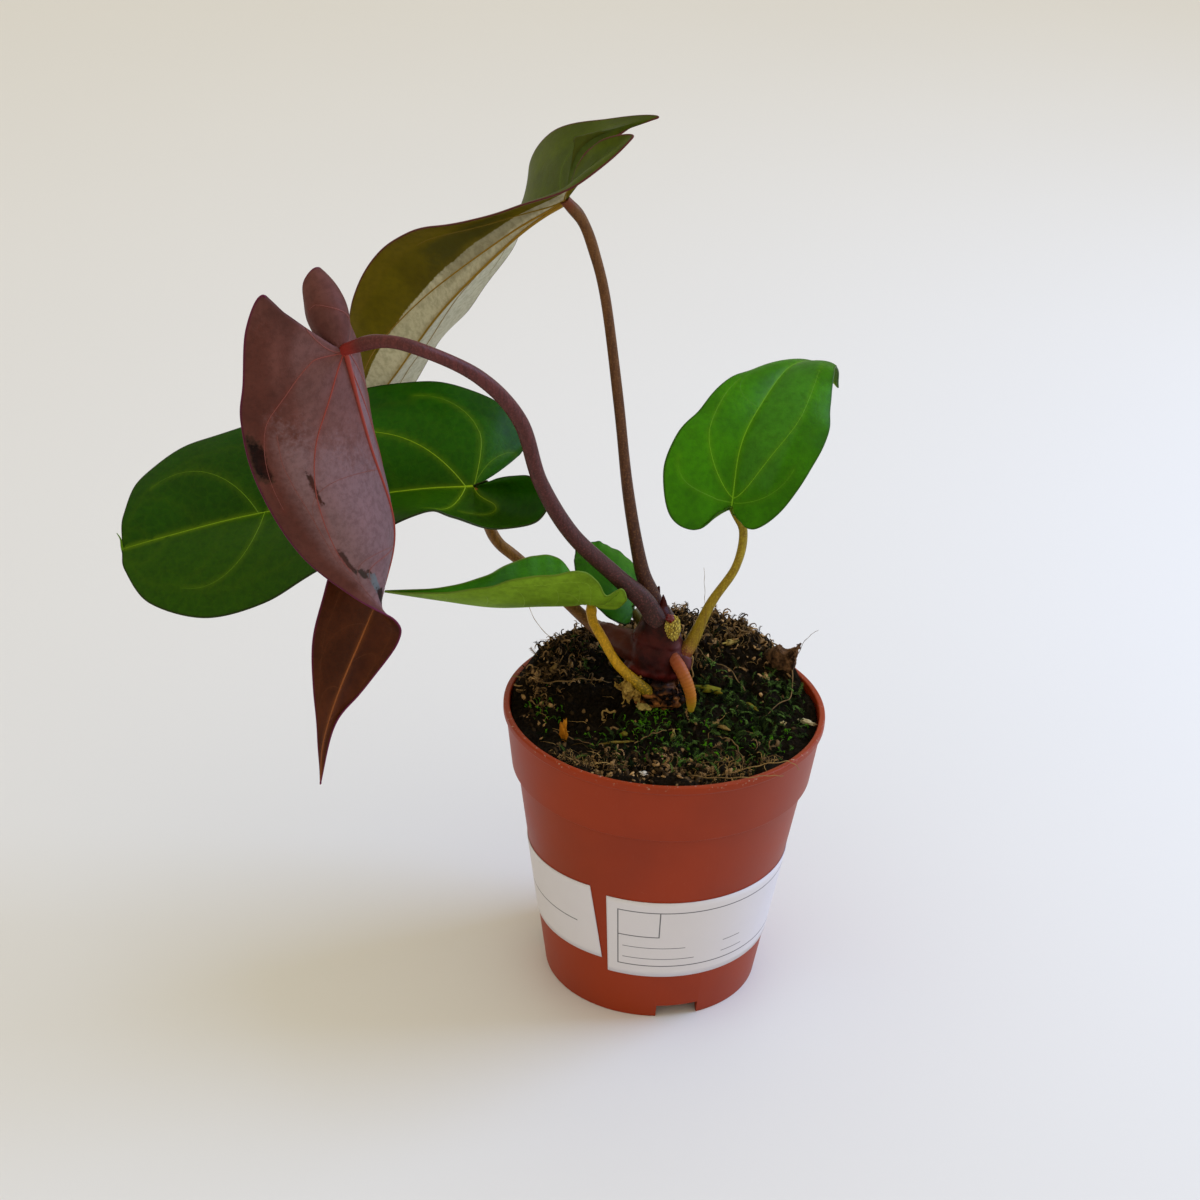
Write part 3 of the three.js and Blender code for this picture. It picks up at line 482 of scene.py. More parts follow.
def grid_faces(rows, columns, around=False, first=0, flip=False):
    """Four-sided faces over rows and columns of points"""
    faces = []
    for i in range(rows - 1):
        for j in range(columns if around else columns - 1):
            k = (j + 1) % columns
            face = (i * columns + j, (i + 1) * columns + j, (i + 1) * columns + k, i * columns + k)
            faces.append(tuple(first + corner for corner in (face[::-1] if flip else face)))
    return faces


def written(work, mesh):
    """The mesh, filled with the work, which is closed"""
    work.to_mesh(mesh)
    work.free()
    return mesh


def welded(mesh, distance=0.01 * MM):
    """The mesh with its doubled points merged and its flat slivers dissolved"""
    work = bmesh.new()
    work.from_mesh(mesh)
    bmesh.ops.remove_doubles(work, verts=work.verts, dist=distance)
    bmesh.ops.dissolve_degenerate(work, edges=work.edges, dist=distance / 10)
    return written(work, mesh)


def outward(mesh):
    """The closed mesh with its faces turned outwards"""
    work = bmesh.new()
    work.from_mesh(mesh)
    bmesh.ops.recalc_face_normals(work, faces=work.faces)
    return written(work, mesh)


def modify(piece, kind, **settings):
    """A new modifier of the piece, with these settings"""
    modifier = piece.modifiers.new(kind.lower(), kind)
    for key, value in settings.items():
        setattr(modifier, key, value)
    return modifier


def evaluated(piece, drop=True):
    """A plain mesh of what the piece's modifiers make"""
    bpy.context.view_layer.update()
    graph = bpy.context.evaluated_depsgraph_get()
    mesh = bpy.data.meshes.new_from_object(piece.evaluated_get(graph), preserve_all_data_layers=True,
                                           depsgraph=graph)
    piece.modifiers.clear()
    if drop:
        bpy.data.objects.remove(piece)
    return mesh


def painted(mesh, material):
    """The mesh with this material alone"""
    mesh.materials.clear()
    mesh.materials.append(material)
    return mesh


def settle(piece, slot, *nodes):
    """Fixes a finished piece to the plant and hides the solids it stands for. The slot is not used."""
    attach(piece, "root")
    if nodes:
        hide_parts(*nodes)
    return piece


# Node trees


class Socket:
    """A socket that gives a value, and takes part in Python expressions"""

    def __init__(self, nodes, socket):
        self.nodes = nodes
        self.socket = socket

    def math(self, operation, *terms):
        values = dict(enumerate(terms))
        return self.nodes.node("ShaderNodeMath", {"operation": operation}, values)

    def __add__(self, other):
        return self.math("ADD", self, other)

    def __sub__(self, other):
        return self.math("SUBTRACT", self, other)

    def __rsub__(self, other):
        return self.math("SUBTRACT", other, self)

    def __mul__(self, other):
        return self.math("MULTIPLY", self, other)

    __radd__ = __add__
    __rmul__ = __mul__

    def between(self, low, high):
        """0 up to low, 1 from high on, and smooth in between"""
        return self.nodes.node("ShaderNodeMapRange", {"interpolation_type": "SMOOTHSTEP"},
                               {0: self, 1: low, 2: high})

    def within(self, low, high, blur):
        """1 between low and high, fading to 0 over blur outside them"""
        return self.between(low - blur, low) * (1 - self.between(high, high + blur))

    def other(self, name):
        """Another output of the same node"""
        return Socket(self.nodes, self.socket.node.outputs[name])


class Nodes:
    """Adds nodes to a tree, each with its settings and the values or links of its sockets"""

    def __init__(self, tree):
        self.tree = tree

    def node(self, kind, settings=None, values=None, output=0):
        made = self.tree.nodes.new(kind)
        for key, value in (settings or {}).items():
            if key == "stops":
                for place, _ in value[2:]:
                    made.color_ramp.elements.new(place)
                for element, (place, tint) in zip(made.color_ramp.elements, value):
                    element.position = place
                    element.color = (*tint, 1)
            else:
                setattr(made, key, value)
        for place, value in (values or {}).items():
            if isinstance(value, Socket):
                self.tree.links.new(value.socket, made.inputs[place])
            else:
                made.inputs[place].default_value = value
        return Socket(self, made.outputs[output]) if made.outputs else None


class Finish(Nodes):
    """A material under construction"""

    def __init__(self, name):
        self.material = bpy.data.materials.new(name)
        self.material.use_nodes = True
        super().__init__(self.material.node_tree)
        self.tree.nodes.clear()
        self.place = self.node("ShaderNodeTexCoord", output="Object")

    def attribute(self, name):
        return self.node("ShaderNodeAttribute", {"attribute_name": name}, output="Fac")

    def height(self):
        return self.node("ShaderNodeSeparateXYZ", values={0: self.place}, output="Z")

    def stretched(self, scale):
        return self.node("ShaderNodeMapping", values={"Vector": self.place, "Scale": scale})

    def noise(self, size, detail=3, roughness=0.5, place=None):
        values = {"Vector": place or self.place, "Scale": 1 / size, "Detail": detail, "Roughness": roughness}
        return self.node("ShaderNodeTexNoise", values=values, output=0)

    def cells(self, size, feature="DISTANCE_TO_EDGE"):
        values = {"Vector": self.place, "Scale": 1 / size}
        return self.node("ShaderNodeTexVoronoi", {"feature": feature}, values)

    def mix(self, factor, first, second):
        values = {0: factor}
        for place, tint in ((6, first), (7, second)):
            values[place] = tint if isinstance(tint, Socket) else (*tint, 1)
        return self.node("ShaderNodeMix", {"data_type": "RGBA"}, values, output=2)

    def ramp(self, value, *stops):
        return self.node("ShaderNodeValToRGB", {"stops": stops}, {0: value})

    def surface(self, tint, roughness, shine, relief=None, glow=None, share=0.0):
        """Ends the material. relief is (height, distance, strength), and glow what passes through it"""
        values = {"Base Color": tint, "Roughness": roughness, "Specular IOR Level": shine}
        if relief:
            height, distance, strength = relief
            values["Normal"] = self.node("ShaderNodeBump", values={"Height": height, "Distance": distance,
                                                                   "Strength": strength})
        shown = self.node("ShaderNodeBsdfPrincipled", values=values)
        if glow:
            through = self.node("ShaderNodeBsdfTranslucent", values={"Color": (*glow, 1)})
            shown = self.node("ShaderNodeMixShader", values={0: share, 1: shown, 2: through})
        self.node("ShaderNodeOutputMaterial", values={"Surface": shown})
        return self.material


class Grower(Nodes):
    """A geometry tree with named inputs, which ends in realised, painted geometry"""

    def __init__(self, name, inputs):
        tree = bpy.data.node_groups.new(name, "GeometryNodeTree")
        super().__init__(tree)
        tree.interface.new_socket("Geometry", in_out="INPUT", socket_type="NodeSocketGeometry")
        for label, kind in inputs.items():
            tree.interface.new_socket(label, in_out="INPUT", socket_type=f"NodeSocket{kind}")
        tree.interface.new_socket("Geometry", in_out="OUTPUT", socket_type="NodeSocketGeometry")
        self.given = self.node("NodeGroupInput")

    def input(self, name):
        return self.given.other(name)

    def named(self, name):
        values = {"Name": name}
        return self.node("GeometryNodeInputNamedAttribute", {"data_type": "FLOAT"}, values)

    def end(self, geometry):
        real = self.node("GeometryNodeRealizeInstances", values={0: geometry})
        smooth = self.node("GeometryNodeSetShadeSmooth", values={0: real})
        painted = self.node("GeometryNodeSetMaterial", values={0: smooth, "Material": self.input("Material")})
        self.node("NodeGroupOutput", values={0: painted})
        return self.tree


def tube_tree():
    """Tubes along the edges of a mesh, as thick as its girth attribute says"""
    grower = Grower("tubes", {"Sides": "Int", "Thickness": "Float", "Material": "Material"})
    runs = grower.node("GeometryNodeMeshToCurve", values={0: grower.given})
    ring = grower.node("GeometryNodeCurvePrimitiveCircle",
                       values={"Resolution": grower.input("Sides"), "Radius": 1.0})
    girth = grower.named("girth") * grower.input("Thickness")
    skin = grower.node("GeometryNodeCurveToMesh",
                       values={"Curve": runs, "Profile Curve": ring, "Scale": girth, "Fill Caps": True})
    return grower.end(skin)


def scatter_tree():
    """Copies of a small shape over a surface, as thick as its cover attribute says"""
    grower = Grower("scatter", {
        "Shape": "Object", "Density": "Float", "Smallest": "Float", "Largest": "Float", "Lean": "Float",
        "Seed": "Int", "Material": "Material",
    })
    density = grower.named("cover") * grower.input("Density")
    points = grower.node("GeometryNodeDistributePointsOnFaces",
                         values={"Mesh": grower.given, "Density": density, "Seed": grower.input("Seed")})
    lean = grower.input("Lean")
    low = grower.node("ShaderNodeCombineXYZ", values={"X": lean * -1, "Y": lean * -1})
    high = grower.node("ShaderNodeCombineXYZ", values={"X": lean, "Y": lean, "Z": 2 * math.pi})
    turn = grower.node("FunctionNodeRandomValue", {"data_type": "FLOAT_VECTOR"},
                       {"Min": low, "Max": high, "Seed": grower.input("Seed")})
    size = grower.node("FunctionNodeRandomValue", {"data_type": "FLOAT"},
                       {2: grower.input("Smallest"), 3: grower.input("Largest"), "Seed": 7}, output=1)
    shape = grower.node("GeometryNodeObjectInfo", values={"Object": grower.input("Shape")}, output="Geometry")
    copies = grower.node("GeometryNodeInstanceOnPoints",
                         values={"Points": points, "Instance": shape, "Rotation": turn, "Scale": size})
    shade = grower.node("FunctionNodeRandomValue", {"data_type": "FLOAT"}, {"Seed": 3}, output=1)
    shaded = grower.node("GeometryNodeStoreNamedAttribute", {"data_type": "FLOAT", "domain": "INSTANCE"},
                         {0: copies, "Name": "shade", "Value": shade})
    return grower.end(shaded)


def grown(name, base, tree, **inputs):
    """A new piece: what a geometry tree makes of the base object"""
    modifier = modify(base, "NODES", node_group=tree)
    for item in tree.interface.items_tree:
        key = item.name.lower()
        if item.in_out == "INPUT" and key in inputs:
            modifier[item.identifier] = inputs[key]
    return add_piece(name, evaluated(base, drop=False))


def tubes(name, runs, material, sides=8, **attributes):
    """Tubes along runs, each a list of points in metres and their radii, with a number per point stored"""
    points, edges, girths = [], [], []
    for run, radii in runs:
        edges += [(len(points) + i, len(points) + i + 1) for i in range(len(run) - 1)]
        points += list(run)
        girths += list(radii)
    stored = {key: np.concatenate(values) for key, values in attributes.items()}
    base = add_piece(f"{name}_paths", mesh_of(f"{name}_paths", points, edges=edges, girth=girths, **stored))
    piece = grown(name, base, bpy.data.node_groups["tubes"], sides=sides, thickness=1.0, material=material)
    bpy.data.objects.remove(base)
    outward(piece.data)
    return piece


# Materials of the plant


def leaf_finish(leaf, face):
    """The skin of one face of a blade, with its patches, some of them painted sheen, and its fine network,
    paler beside the veins
    """
    tint, vein_tint = leaf_tint(leaf, face), leaf_tint(leaf, f"{face}_vein")
    finish = Finish(f"leaf_{leaf}_{face}")
    beside_vein = finish.attribute("vein")
    clouds = finish.noise(24 * MM, 4, 0.6).between(0.3, 0.7)
    network = finish.cells(4.2 * MM).between(0.0, 0.12)
    fine = finish.cells(1.1 * MM).between(0.0, 0.3)
    shown = finish.mix(clouds, times(0.7, tint), times(1.25, tint))
    uneven = (finish.noise(6 * MM, 4, 0.6) - 0.5) + (finish.noise(1.3 * MM, 3, 0.6) - 0.5) * 0.8
    mottle = finish.noise(2.4 * MM, 5, 0.7).between(0.32, 0.62)
    for side, across, along, blur, patch_tint, strength in LEAF_PATCHES_AND_SHEEN.get(leaf, ()):
        if side == face:
            sideways = finish.attribute("across") + uneven * min(0.06, 0.02 + 1.2 * blur)
            forwards = finish.attribute("along") + uneven * (0.02 + 0.5 * blur)
            inside = sideways.within(*across, blur) * forwards.within(*along, 0.35 * blur)
            shown = finish.mix(inside * strength, shown, patch_tint)
    shown = finish.mix((1 - mottle) * 0.34, shown, times(0.3, tint))
    shown = finish.mix((1 - network) * 0.02, shown, vein_tint)
    shown = finish.mix(beside_vein * 0.32, shown, vein_tint)
    shown = finish.mix(finish.attribute("edge") * 0.8, shown, leaf_tint(leaf, "edge"))
    grain = finish.noise(0.5 * MM, 2)
    quilt = network * 0.2 + fine * 0.1 + grain * 0.15 + mottle * 0.35 - beside_vein * 0.7
    rough = finish.noise(9 * MM, 3) * 0.16 + (0.34 if face == "upper" else 0.44)
    shine = 0.1 if face == "upper" else 0.08
    return finish.surface(shown, rough, shine, (quilt, 0.14 * MM, 0.5), leaf_tint(leaf, "glow"), 0.3)


def vein_finish(leaf):
    """Veins and margin line of one leaf: tone is 0 on the under face, 0.5 on the upper and 1 on the margin"""
    finish = Finish(f"veins_{leaf}")
    tone, age = finish.attribute("tone"), finish.attribute("age")
    under, upper = (finish.mix(age, leaf_tint(leaf, f"{face}_vein"), leaf_tint(leaf, face))
                    for face in ("under", "upper"))
    sides = finish.mix(tone.between(0.2, 0.3), under, upper)
    shown = finish.mix(tone.between(0.7, 0.8), sides, leaf_tint(leaf, "edge"))
    grain = finish.noise(0.6 * MM, 2)
    return finish.surface(shown, 0.45, 0.15, (grain, 0.05 * MM, 0.5))


def stalk_finish(leaf):
    """Stalk skin, from its foot to the blade, with fine streaks and specks and its own colour at the joint"""
    low, high = leaf_tint(leaf, "stalk_low"), leaf_tint(leaf, "stalk_high")
    finish = Finish(f"stalk_{leaf}")
    along = finish.attribute("age")
    base = finish.mix(along.between(*STALK_FLUSH[leaf]), low, high)
    streaks = finish.noise(1.2 * MM, 4, 0.6, finish.stretched((1, 1, 0.08))).between(0.35, 0.7)
    streaked = finish.mix(streaks * 0.45, base, times(0.45, low))
    specks = finish.noise(0.6 * MM, 3).between(0.5, 0.66)
    specked = finish.mix(specks * 0.4, streaked, tuple(min(1.0, 1.6 * value + 0.01) for value in high))
    shown = finish.mix(along.between(0.93, 0.985) * 0.8, specked, leaf_tint(leaf, "joint"))
    rough = finish.noise(4 * MM, 3) * 0.2 + 0.34
    return finish.surface(shown, rough, 0.15, (streaks + specks * 0.3, 0.12 * MM, 0.5))


def pot_finish():
    """Moulded plastic with fine scratches, dust on the lip and a few pale scuffs"""
    plastic = bpy.context.scene.plant_pot.plastic
    finish = Finish("pot_plastic")
    clouds = finish.noise(45 * MM, 4, 0.55).between(0.3, 0.7)
    base = finish.mix(clouds, times(0.86, plastic), times(1.04, plastic))
    scratches = finish.noise(0.5 * MM, 3, 0.6, finish.stretched((1, 1, 0.06))).between(0.6, 0.75)
    scuffs = finish.noise(5 * MM, 6, 0.7).between(0.7, 0.74)
    dust = finish.noise(1.6 * MM, 4, 0.7).between(0.6, 0.68)
    lip = finish.height().between(POT_HEIGHT - 2.2 * MM, POT_HEIGHT)
    worn = finish.mix(scratches * 0.06 + scuffs * 0.2, base, (0.5, 0.2, 0.13))
    shown = finish.mix(dust * lip * 0.6, worn, (0.5, 0.4, 0.3))
    grain = finish.noise(0.35 * MM, 2)
    waves = finish.noise(14 * MM, 2)
    rough = 0.42 + scratches * 0.1 + dust * lip * 0.4 + clouds * 0.06
    return finish.surface(shown, rough, 0.2, (grain * 0.2 + waves, 0.12 * MM, 0.35))


def label_finish(name, rules):
    """Label film with thin printed rules, placed on the label's own map in metres"""
    settings = bpy.context.scene.plant_pot
    film, ink = tuple(settings.label), tuple(settings.print)
    finish = Finish(name)
    chart = finish.node("ShaderNodeUVMap", {"uv_map": "UVMap"})
    across = finish.node("ShaderNodeSeparateXYZ", values={0: chart}, output="X")
    up = across.other("Y")
    blur = 0.16 * MM
    printed = None
    for left, low, right, high in rules:
        inside = across.within(left, right, blur) * up.within(low, high, blur)
        printed = printed.math("MAXIMUM", printed, inside) if printed else inside
    paper = finish.noise(9 * MM, 3)
    base = finish.mix(paper * 0.25, film, times(0.86, film))
    shown = finish.mix(printed * 0.85, base, ink)
    fibres = finish.noise(0.4 * MM, 3)
    creases = finish.noise(12 * MM, 3)
    return finish.surface(shown, 0.55, 0.2, (fibres * 0.1 + creases, 0.12 * MM, 0.4))


def earth_finish():
    """Damp bark mix, nearly black, with a few browner crumbs"""
    mix = bpy.context.scene.plant_mix
    finish = Finish("potting_mix")
    crumbs = finish.cells(2.2 * MM, "F1")
    grit = finish.noise(1.3 * MM, 5, 0.7)
    base = finish.mix(grit.between(0.3, 0.75), times(0.4, mix.earth), times(2.0, mix.earth))
    brown = finish.noise(3 * MM, 3).between(0.62, 0.72)
    shown = finish.mix(brown * 0.5, base, times(0.4, mix.litter))
    return finish.surface(shown, 0.9, 0.04, (grit + crumbs, 1.2 * MM, 0.9))


def speckled_finish(name, tints, size=1.5 * MM, glow=None, share=0.0):
    """Small things whose colour changes from one to the next and along each"""
    finish = Finish(name)
    shade = finish.attribute("shade")
    stops = [(index / (len(tints) - 1), tint) for index, tint in enumerate(tints)]
    own = finish.ramp(shade, *stops)
    patches = finish.noise(size, 3)
    shown = finish.mix(patches.between(0.35, 0.8) * 0.55, own, times(0.4, tints[0]))
    return finish.surface(shown, 0.7, 0.05, (patches, 0.3 * MM, 0.6), glow, share)


def crown_finish():
    """Dark maroon tissue: red along one ridge, partly painted highlight, pinkish on the callus, rusty and
    dull at the torn foot, with painted shade in the crease and the torn recesses
    """
    finish = Finish("crown_tissue")
    patches = finish.noise(7 * MM, 4, 0.6).between(0.3, 0.7)
    maroon = finish.mix(patches, (0.009, 0.0008, 0.0008), (0.052, 0.006, 0.004))
    base = finish.mix(finish.attribute("flare") * 0.8, maroon, (0.085, 0.024, 0.014))
    low = 1 - finish.height().between(124 * MM, 129 * MM)
    flecks = finish.noise(2.4 * MM, 4, 0.6).between(0.3, 0.7)
    rust = finish.mix(flecks, (0.05, 0.014, 0.004), (0.3, 0.11, 0.024))
    shown = finish.mix(low * 0.95, base, rust)
    # the ridge's red is partly the tissue's own and partly a painted highlight on the front of the fold
    shown = finish.mix(finish.attribute("ridge") * 0.7, shown, (0.14, 0.012, 0.01))
    shown = finish.mix(finish.attribute("callus") * 0.6, shown, (0.19, 0.07, 0.08))
    # painted shade: nearly black in the crease under the ridge and in the torn recesses at the foot
    shown = finish.mix(finish.attribute("hollow") * 0.9, shown, (0.003, 0.001, 0.001))
    worn = finish.noise(1.4 * MM, 4, 0.65).between(0.64, 0.74)
    shown = finish.mix(worn * 0.25, shown, (0.14, 0.06, 0.04))
    streaks = finish.noise(1.1 * MM, 4, 0.6, finish.stretched((1, 1, 0.2)))
    rough = 0.36 + low * 0.35 + worn * 0.25
    return finish.surface(shown, rough, 0.1, (streaks + worn * 0.4, 0.3 * MM, 0.4))


def root_finish():
    """Orange root skin with fine rings, turning yellow-green at its growing tip"""
    finish = Finish("root_tissue")
    along = finish.attribute("age")
    base = finish.ramp(along, (0.0, (0.1, 0.025, 0.015)), (0.22, (0.28, 0.06, 0.014)),
                       (0.62, (0.42, 0.15, 0.014)), (0.95, (0.4, 0.3, 0.01)))
    rings = finish.noise(0.5 * MM, 3, 0.6, finish.stretched((0.15, 0.15, 1)))
    shown = finish.mix(rings.between(0.4, 0.7) * 0.4, base, (0.24, 0.07, 0.02))
    return finish.surface(shown, 0.5, 0.2, (rings, 0.25 * MM, 0.7))


def stub_finish():
    """Dry cut tissue: yellow grains with dark gaps"""
    finish = Finish("stub_tissue")
    gaps = finish.attribute("gap")
    base = finish.mix(finish.noise(1.2 * MM, 3).between(0.3, 0.7), (0.34, 0.22, 0.02), (0.62, 0.5, 0.1))
    shown = finish.mix(gaps, base, (0.035, 0.02, 0.004))
    return finish.surface(shown, 0.75, 0.15, (finish.noise(0.3 * MM, 2), 0.1 * MM, 0.6))


def gem_finish():
    """Glossy dark red knob of young tissue"""
    finish = Finish("young_tissue")
    spots = finish.noise(1 * MM, 3).between(0.3, 0.7)
    shown = finish.mix(spots, (0.07, 0.004, 0.005), (0.16, 0.01, 0.01))
    return finish.surface(shown, 0.28, 0.4)


def sheath_finish():
    """Papery dried sheath, ochre with brown veins and stains"""
    finish = Finish("dry_sheath")
    veins = finish.noise(0.8 * MM, 4, 0.6, finish.stretched((0.3, 1, 1))).between(0.45, 0.7)
    stains = finish.noise(3.5 * MM, 4, 0.6).between(0.4, 0.7)
    base = finish.mix(stains, (0.58, 0.38, 0.08), (0.18, 0.09, 0.015))
    shown = finish.mix(veins * 0.6, base, (0.07, 0.035, 0.012))
    return finish.surface(shown, 0.65, 0.15, (veins, 0.25 * MM, 0.7), glow=(0.5, 0.3, 0.05), share=0.35)


def bark_finish():
    """Rough brown bark"""
    finish = Finish("bark")
    plates = finish.noise(2.4 * MM, 5, 0.65, finish.stretched((1, 1, 0.5)))
    base = finish.mix(plates.between(0.3, 0.7), (0.022, 0.011, 0.006), (0.2, 0.1, 0.045))
    return finish.surface(base, 0.85, 0.1, (plates, 1.4 * MM, 0.9))


# Operators


class PieceOperator:
    """What the operators of this file share"""

    bl_options = {"REGISTER", "UNDO"}


class PLANT_OT_stage(PieceOperator, bpy.types.Operator):
    """Sets up the camera, the floor and the light"""

    bl_idname = "plant.stage"
    bl_label = "Stage"

    room: colour("Room", "Colour of the light from all sides", (0.985, 0.91, 0.74))
    room_strength: FloatProperty(name="Room strength", description="Light from all sides", default=0.84)

    # How far the camera turns to the right, looks down and leans, in degrees
    AIM = (-1.82, 27.57, 2.59)

    def execute(self, context):
        settings = context.scene.plant_stage
        yaw, pitch, roll = (math.radians(angle) for angle in self.AIM)
        ahead = Vector((math.sin(yaw) * math.cos(pitch), math.cos(yaw) * math.cos(pitch), -math.sin(pitch)))
        right = ahead.cross(Vector((0, 0, 1))).normalized()
        up = right.cross(ahead)
        across = right * math.cos(roll) + up * math.sin(roll)
        upright = up * math.cos(roll) - right * math.sin(roll)
        camera = bpy.data.cameras.new("camera")
        camera.lens = settings.lens
        camera.sensor_width = 36
        camera.clip_start = 0.05
        holder = bpy.data.objects.new("camera", camera)
        context.scene.collection.objects.link(holder)
        turn = Matrix((across, upright, -ahead)).transposed().to_4x4()
        place = Vector(AXIS) + Vector((0, -settings.distance, settings.height))
        holder.matrix_world = Matrix.Translation(place) @ turn
        context.scene.camera = holder
        self.add_floor(tuple(settings.floor))
        self.add_light(context, "key", place=(1.1, 0.35, 1.0), size=0.8, power=17.5, tint=(0.4, 0.58, 1.0))
        world = bpy.data.worlds.new("room")
        world.use_nodes = True
        background = world.node_tree.nodes["Background"]
        background.inputs["Color"].default_value = (*self.room, 1)
        background.inputs["Strength"].default_value = self.room_strength
        context.scene.world = world
        context.scene.view_settings.view_transform = "Standard"
        context.scene.cycles.use_denoising = True
        return {"FINISHED"}

    def add_floor(self, tint):
        """A wide pale floor, a little uneven in tone"""
        finish = Finish("floor")
        clouds = finish.noise(0.5, 3).between(0.2, 0.8)
        shown = finish.mix(clouds, tint, times(0.985, tint))
        reach = 8.0
        corners = [(-reach, -reach, 0), (reach, -reach, 0), (reach, reach, 0), (-reach, reach, 0)]
        mesh = painted(mesh_of("floor", corners, faces=[(0, 1, 2, 3)]), finish.surface(shown, 0.55, 0.25))
        add_piece("floor", mesh)

    def add_light(self, context, name, place, size, power, tint):
        """A soft square lamp that points at the plant"""
        lamp = bpy.data.lights.new(name, "AREA")
        lamp.size = size
        lamp.energy = power
        lamp.color = tint
        holder = bpy.data.objects.new(name, lamp)
        target = Vector(AXIS) + Vector((-0.04, 0, 0.12))
        holder.location = Vector(AXIS) + Vector(place)
        holder.rotation_euler = (target - holder.location).to_track_quat("-Z", "Y").to_euler()
        context.scene.collection.objects.link(holder)


class PLANT_OT_pot(PieceOperator, bpy.types.Operator):
    """Makes the nursery pot: a thin tapering wall with a collar, a rolled lip and a notched foot ring"""

    bl_idname = "plant.pot"
    bl_label = "Pot"

    lip_height: length("Lip height", "Height of the rolled lip", 3 * MM)
    base_lift: length("Base lift", "How far the base is above the floor", 5 * MM)
    ring_width: length("Foot ring", "Width of the foot ring", 2.4 * MM)
    notch_width: length("Notch width", "Width of each notch in the foot ring", 16 * MM)
    notch_height: length("Notch height", "Height of each notch in the foot ring", 5.5 * MM)
    hole_circle: length("Hole circle", "How far the drainage holes are from the middle", 27 * MM)
    hole_radius: length("Hole radius", "Radius of each drainage hole", 3.2 * MM)

    # Angles of the notches and of the drainage holes round the pot, in degrees
    NOTCHES = (16.4, 136.4, 256.4)
    HOLES = range(30, 390, 60)

    def profile(self, pot):
        """Half section of the pot, from the middle of the base, out, up and back inside"""
        foot, body = pot.foot_radius, pot.body_top_radius
        low, top, wall, collar = pot.collar_low_radius, pot.collar_top_radius, pot.wall, pot.collar_height
        lip = POT_HEIGHT - self.lip_height
        base = self.base_lift + wall
        inner = foot - self.ring_width
        corners = [
            (0, self.base_lift, 0), (inner, self.base_lift, 0.6), (inner + 0.4 * MM, 0, 0.3),
            (foot - 0.1 * MM, 0, 0.5), (body, collar - 0.6 * MM, 0.5), (low - 0.2 * MM, collar, 0.35),
            (top, lip - 0.3 * MM, 0.4), (RIM_RADIUS, lip + 0.2 * MM, 0.5),
            (RIM_RADIUS, POT_HEIGHT, 0.7), (RIM_RADIUS - 2.3 * MM, POT_HEIGHT, 0.7),
            (top - wall, lip, 0.6), (low - wall, collar + 0.4 * MM, 0.6),
            (body - wall, collar - 1.6 * MM, 0.6), (foot - wall + 0.9 * MM, base, 1.2), (0, base, 0),
        ]
        return rounded(corners)

    def execute(self, context):
        pot = context.scene.plant_pot
        section = self.profile(pot)
        turns = 2 * np.pi * np.arange(pot.segments) / pot.segments
        rings = [[(r * math.cos(a), r * math.sin(a), z) for a in turns] for r, z in section]
        points = np.array(rings).reshape(-1, 3) + AXIS
        mesh = mesh_of("pot_body", points, grid_faces(len(rings), pot.segments, around=True))
        piece = add_piece("pot_body", outward(welded(mesh)))
        cutters = self.cutters(pot)
        for cutter in cutters:
            modify(piece, "BOOLEAN", operation="DIFFERENCE", solver="EXACT", object=cutter)
        mesh = painted(evaluated(piece), pot_finish())
        for cutter in cutters:
            bpy.data.objects.remove(cutter)
        mesh.set_sharp_from_angle(angle=math.radians(35))
        settle(add_piece("pot_body", mesh), "pot_plastic", "pot")
        return {"FINISHED"}

    def cutters(self, pot):
        """Three notches in the foot ring and six drainage holes in the base"""
        cutters = []
        middle = Matrix.Translation(AXIS)
        size = Matrix.Diagonal((self.notch_width, 6 * MM, 2 * self.notch_height, 1))
        shift = Matrix.Translation((0, self.ring_width / 2 - pot.foot_radius, 0))
        for angle in self.NOTCHES:
            work = bmesh.new()
            turn = Matrix.Rotation(math.radians(angle), 4, "Z")
            bmesh.ops.create_cube(work, size=1, matrix=middle @ turn @ shift @ size)
            cutters.append(add_piece("notch", written(work, bpy.data.meshes.new("notch"))))
        shift = Matrix.Translation((self.hole_circle, 0, self.base_lift))
        for angle in self.HOLES:
            work = bmesh.new()
            turn = Matrix.Rotation(math.radians(angle), 4, "Z")
            bmesh.ops.create_cone(work, segments=24, radius1=self.hole_radius, radius2=self.hole_radius,
                                  depth=10 * MM, cap_ends=True, matrix=middle @ turn @ shift)
            cutters.append(add_piece("hole", written(work, bpy.data.meshes.new("hole"))))
        return cutters


def rounded(corners, steps=4):
    """The outline through corners (x, z, radius in millimetres), each corner rounded by its radius"""
    outline = []
    for index, (x, z, radius) in enumerate(corners):
        here = np.array([x, z])
        if radius == 0:
            outline.append(here)
            continue
        before = np.array(corners[index - 1][:2])
        after = np.array(corners[index + 1][:2])
        reach = min(radius * MM, 0.45 * np.linalg.norm(here - before), 0.45 * np.linalg.norm(after - here))
        start = here + unit(before - here) * reach
        stop = here + unit(after - here) * reach
        for t in np.linspace(0, 1, steps + 1):
            outline.append((1 - t) ** 2 * start + 2 * t * (1 - t) * here + t**2 * stop)
    return outline


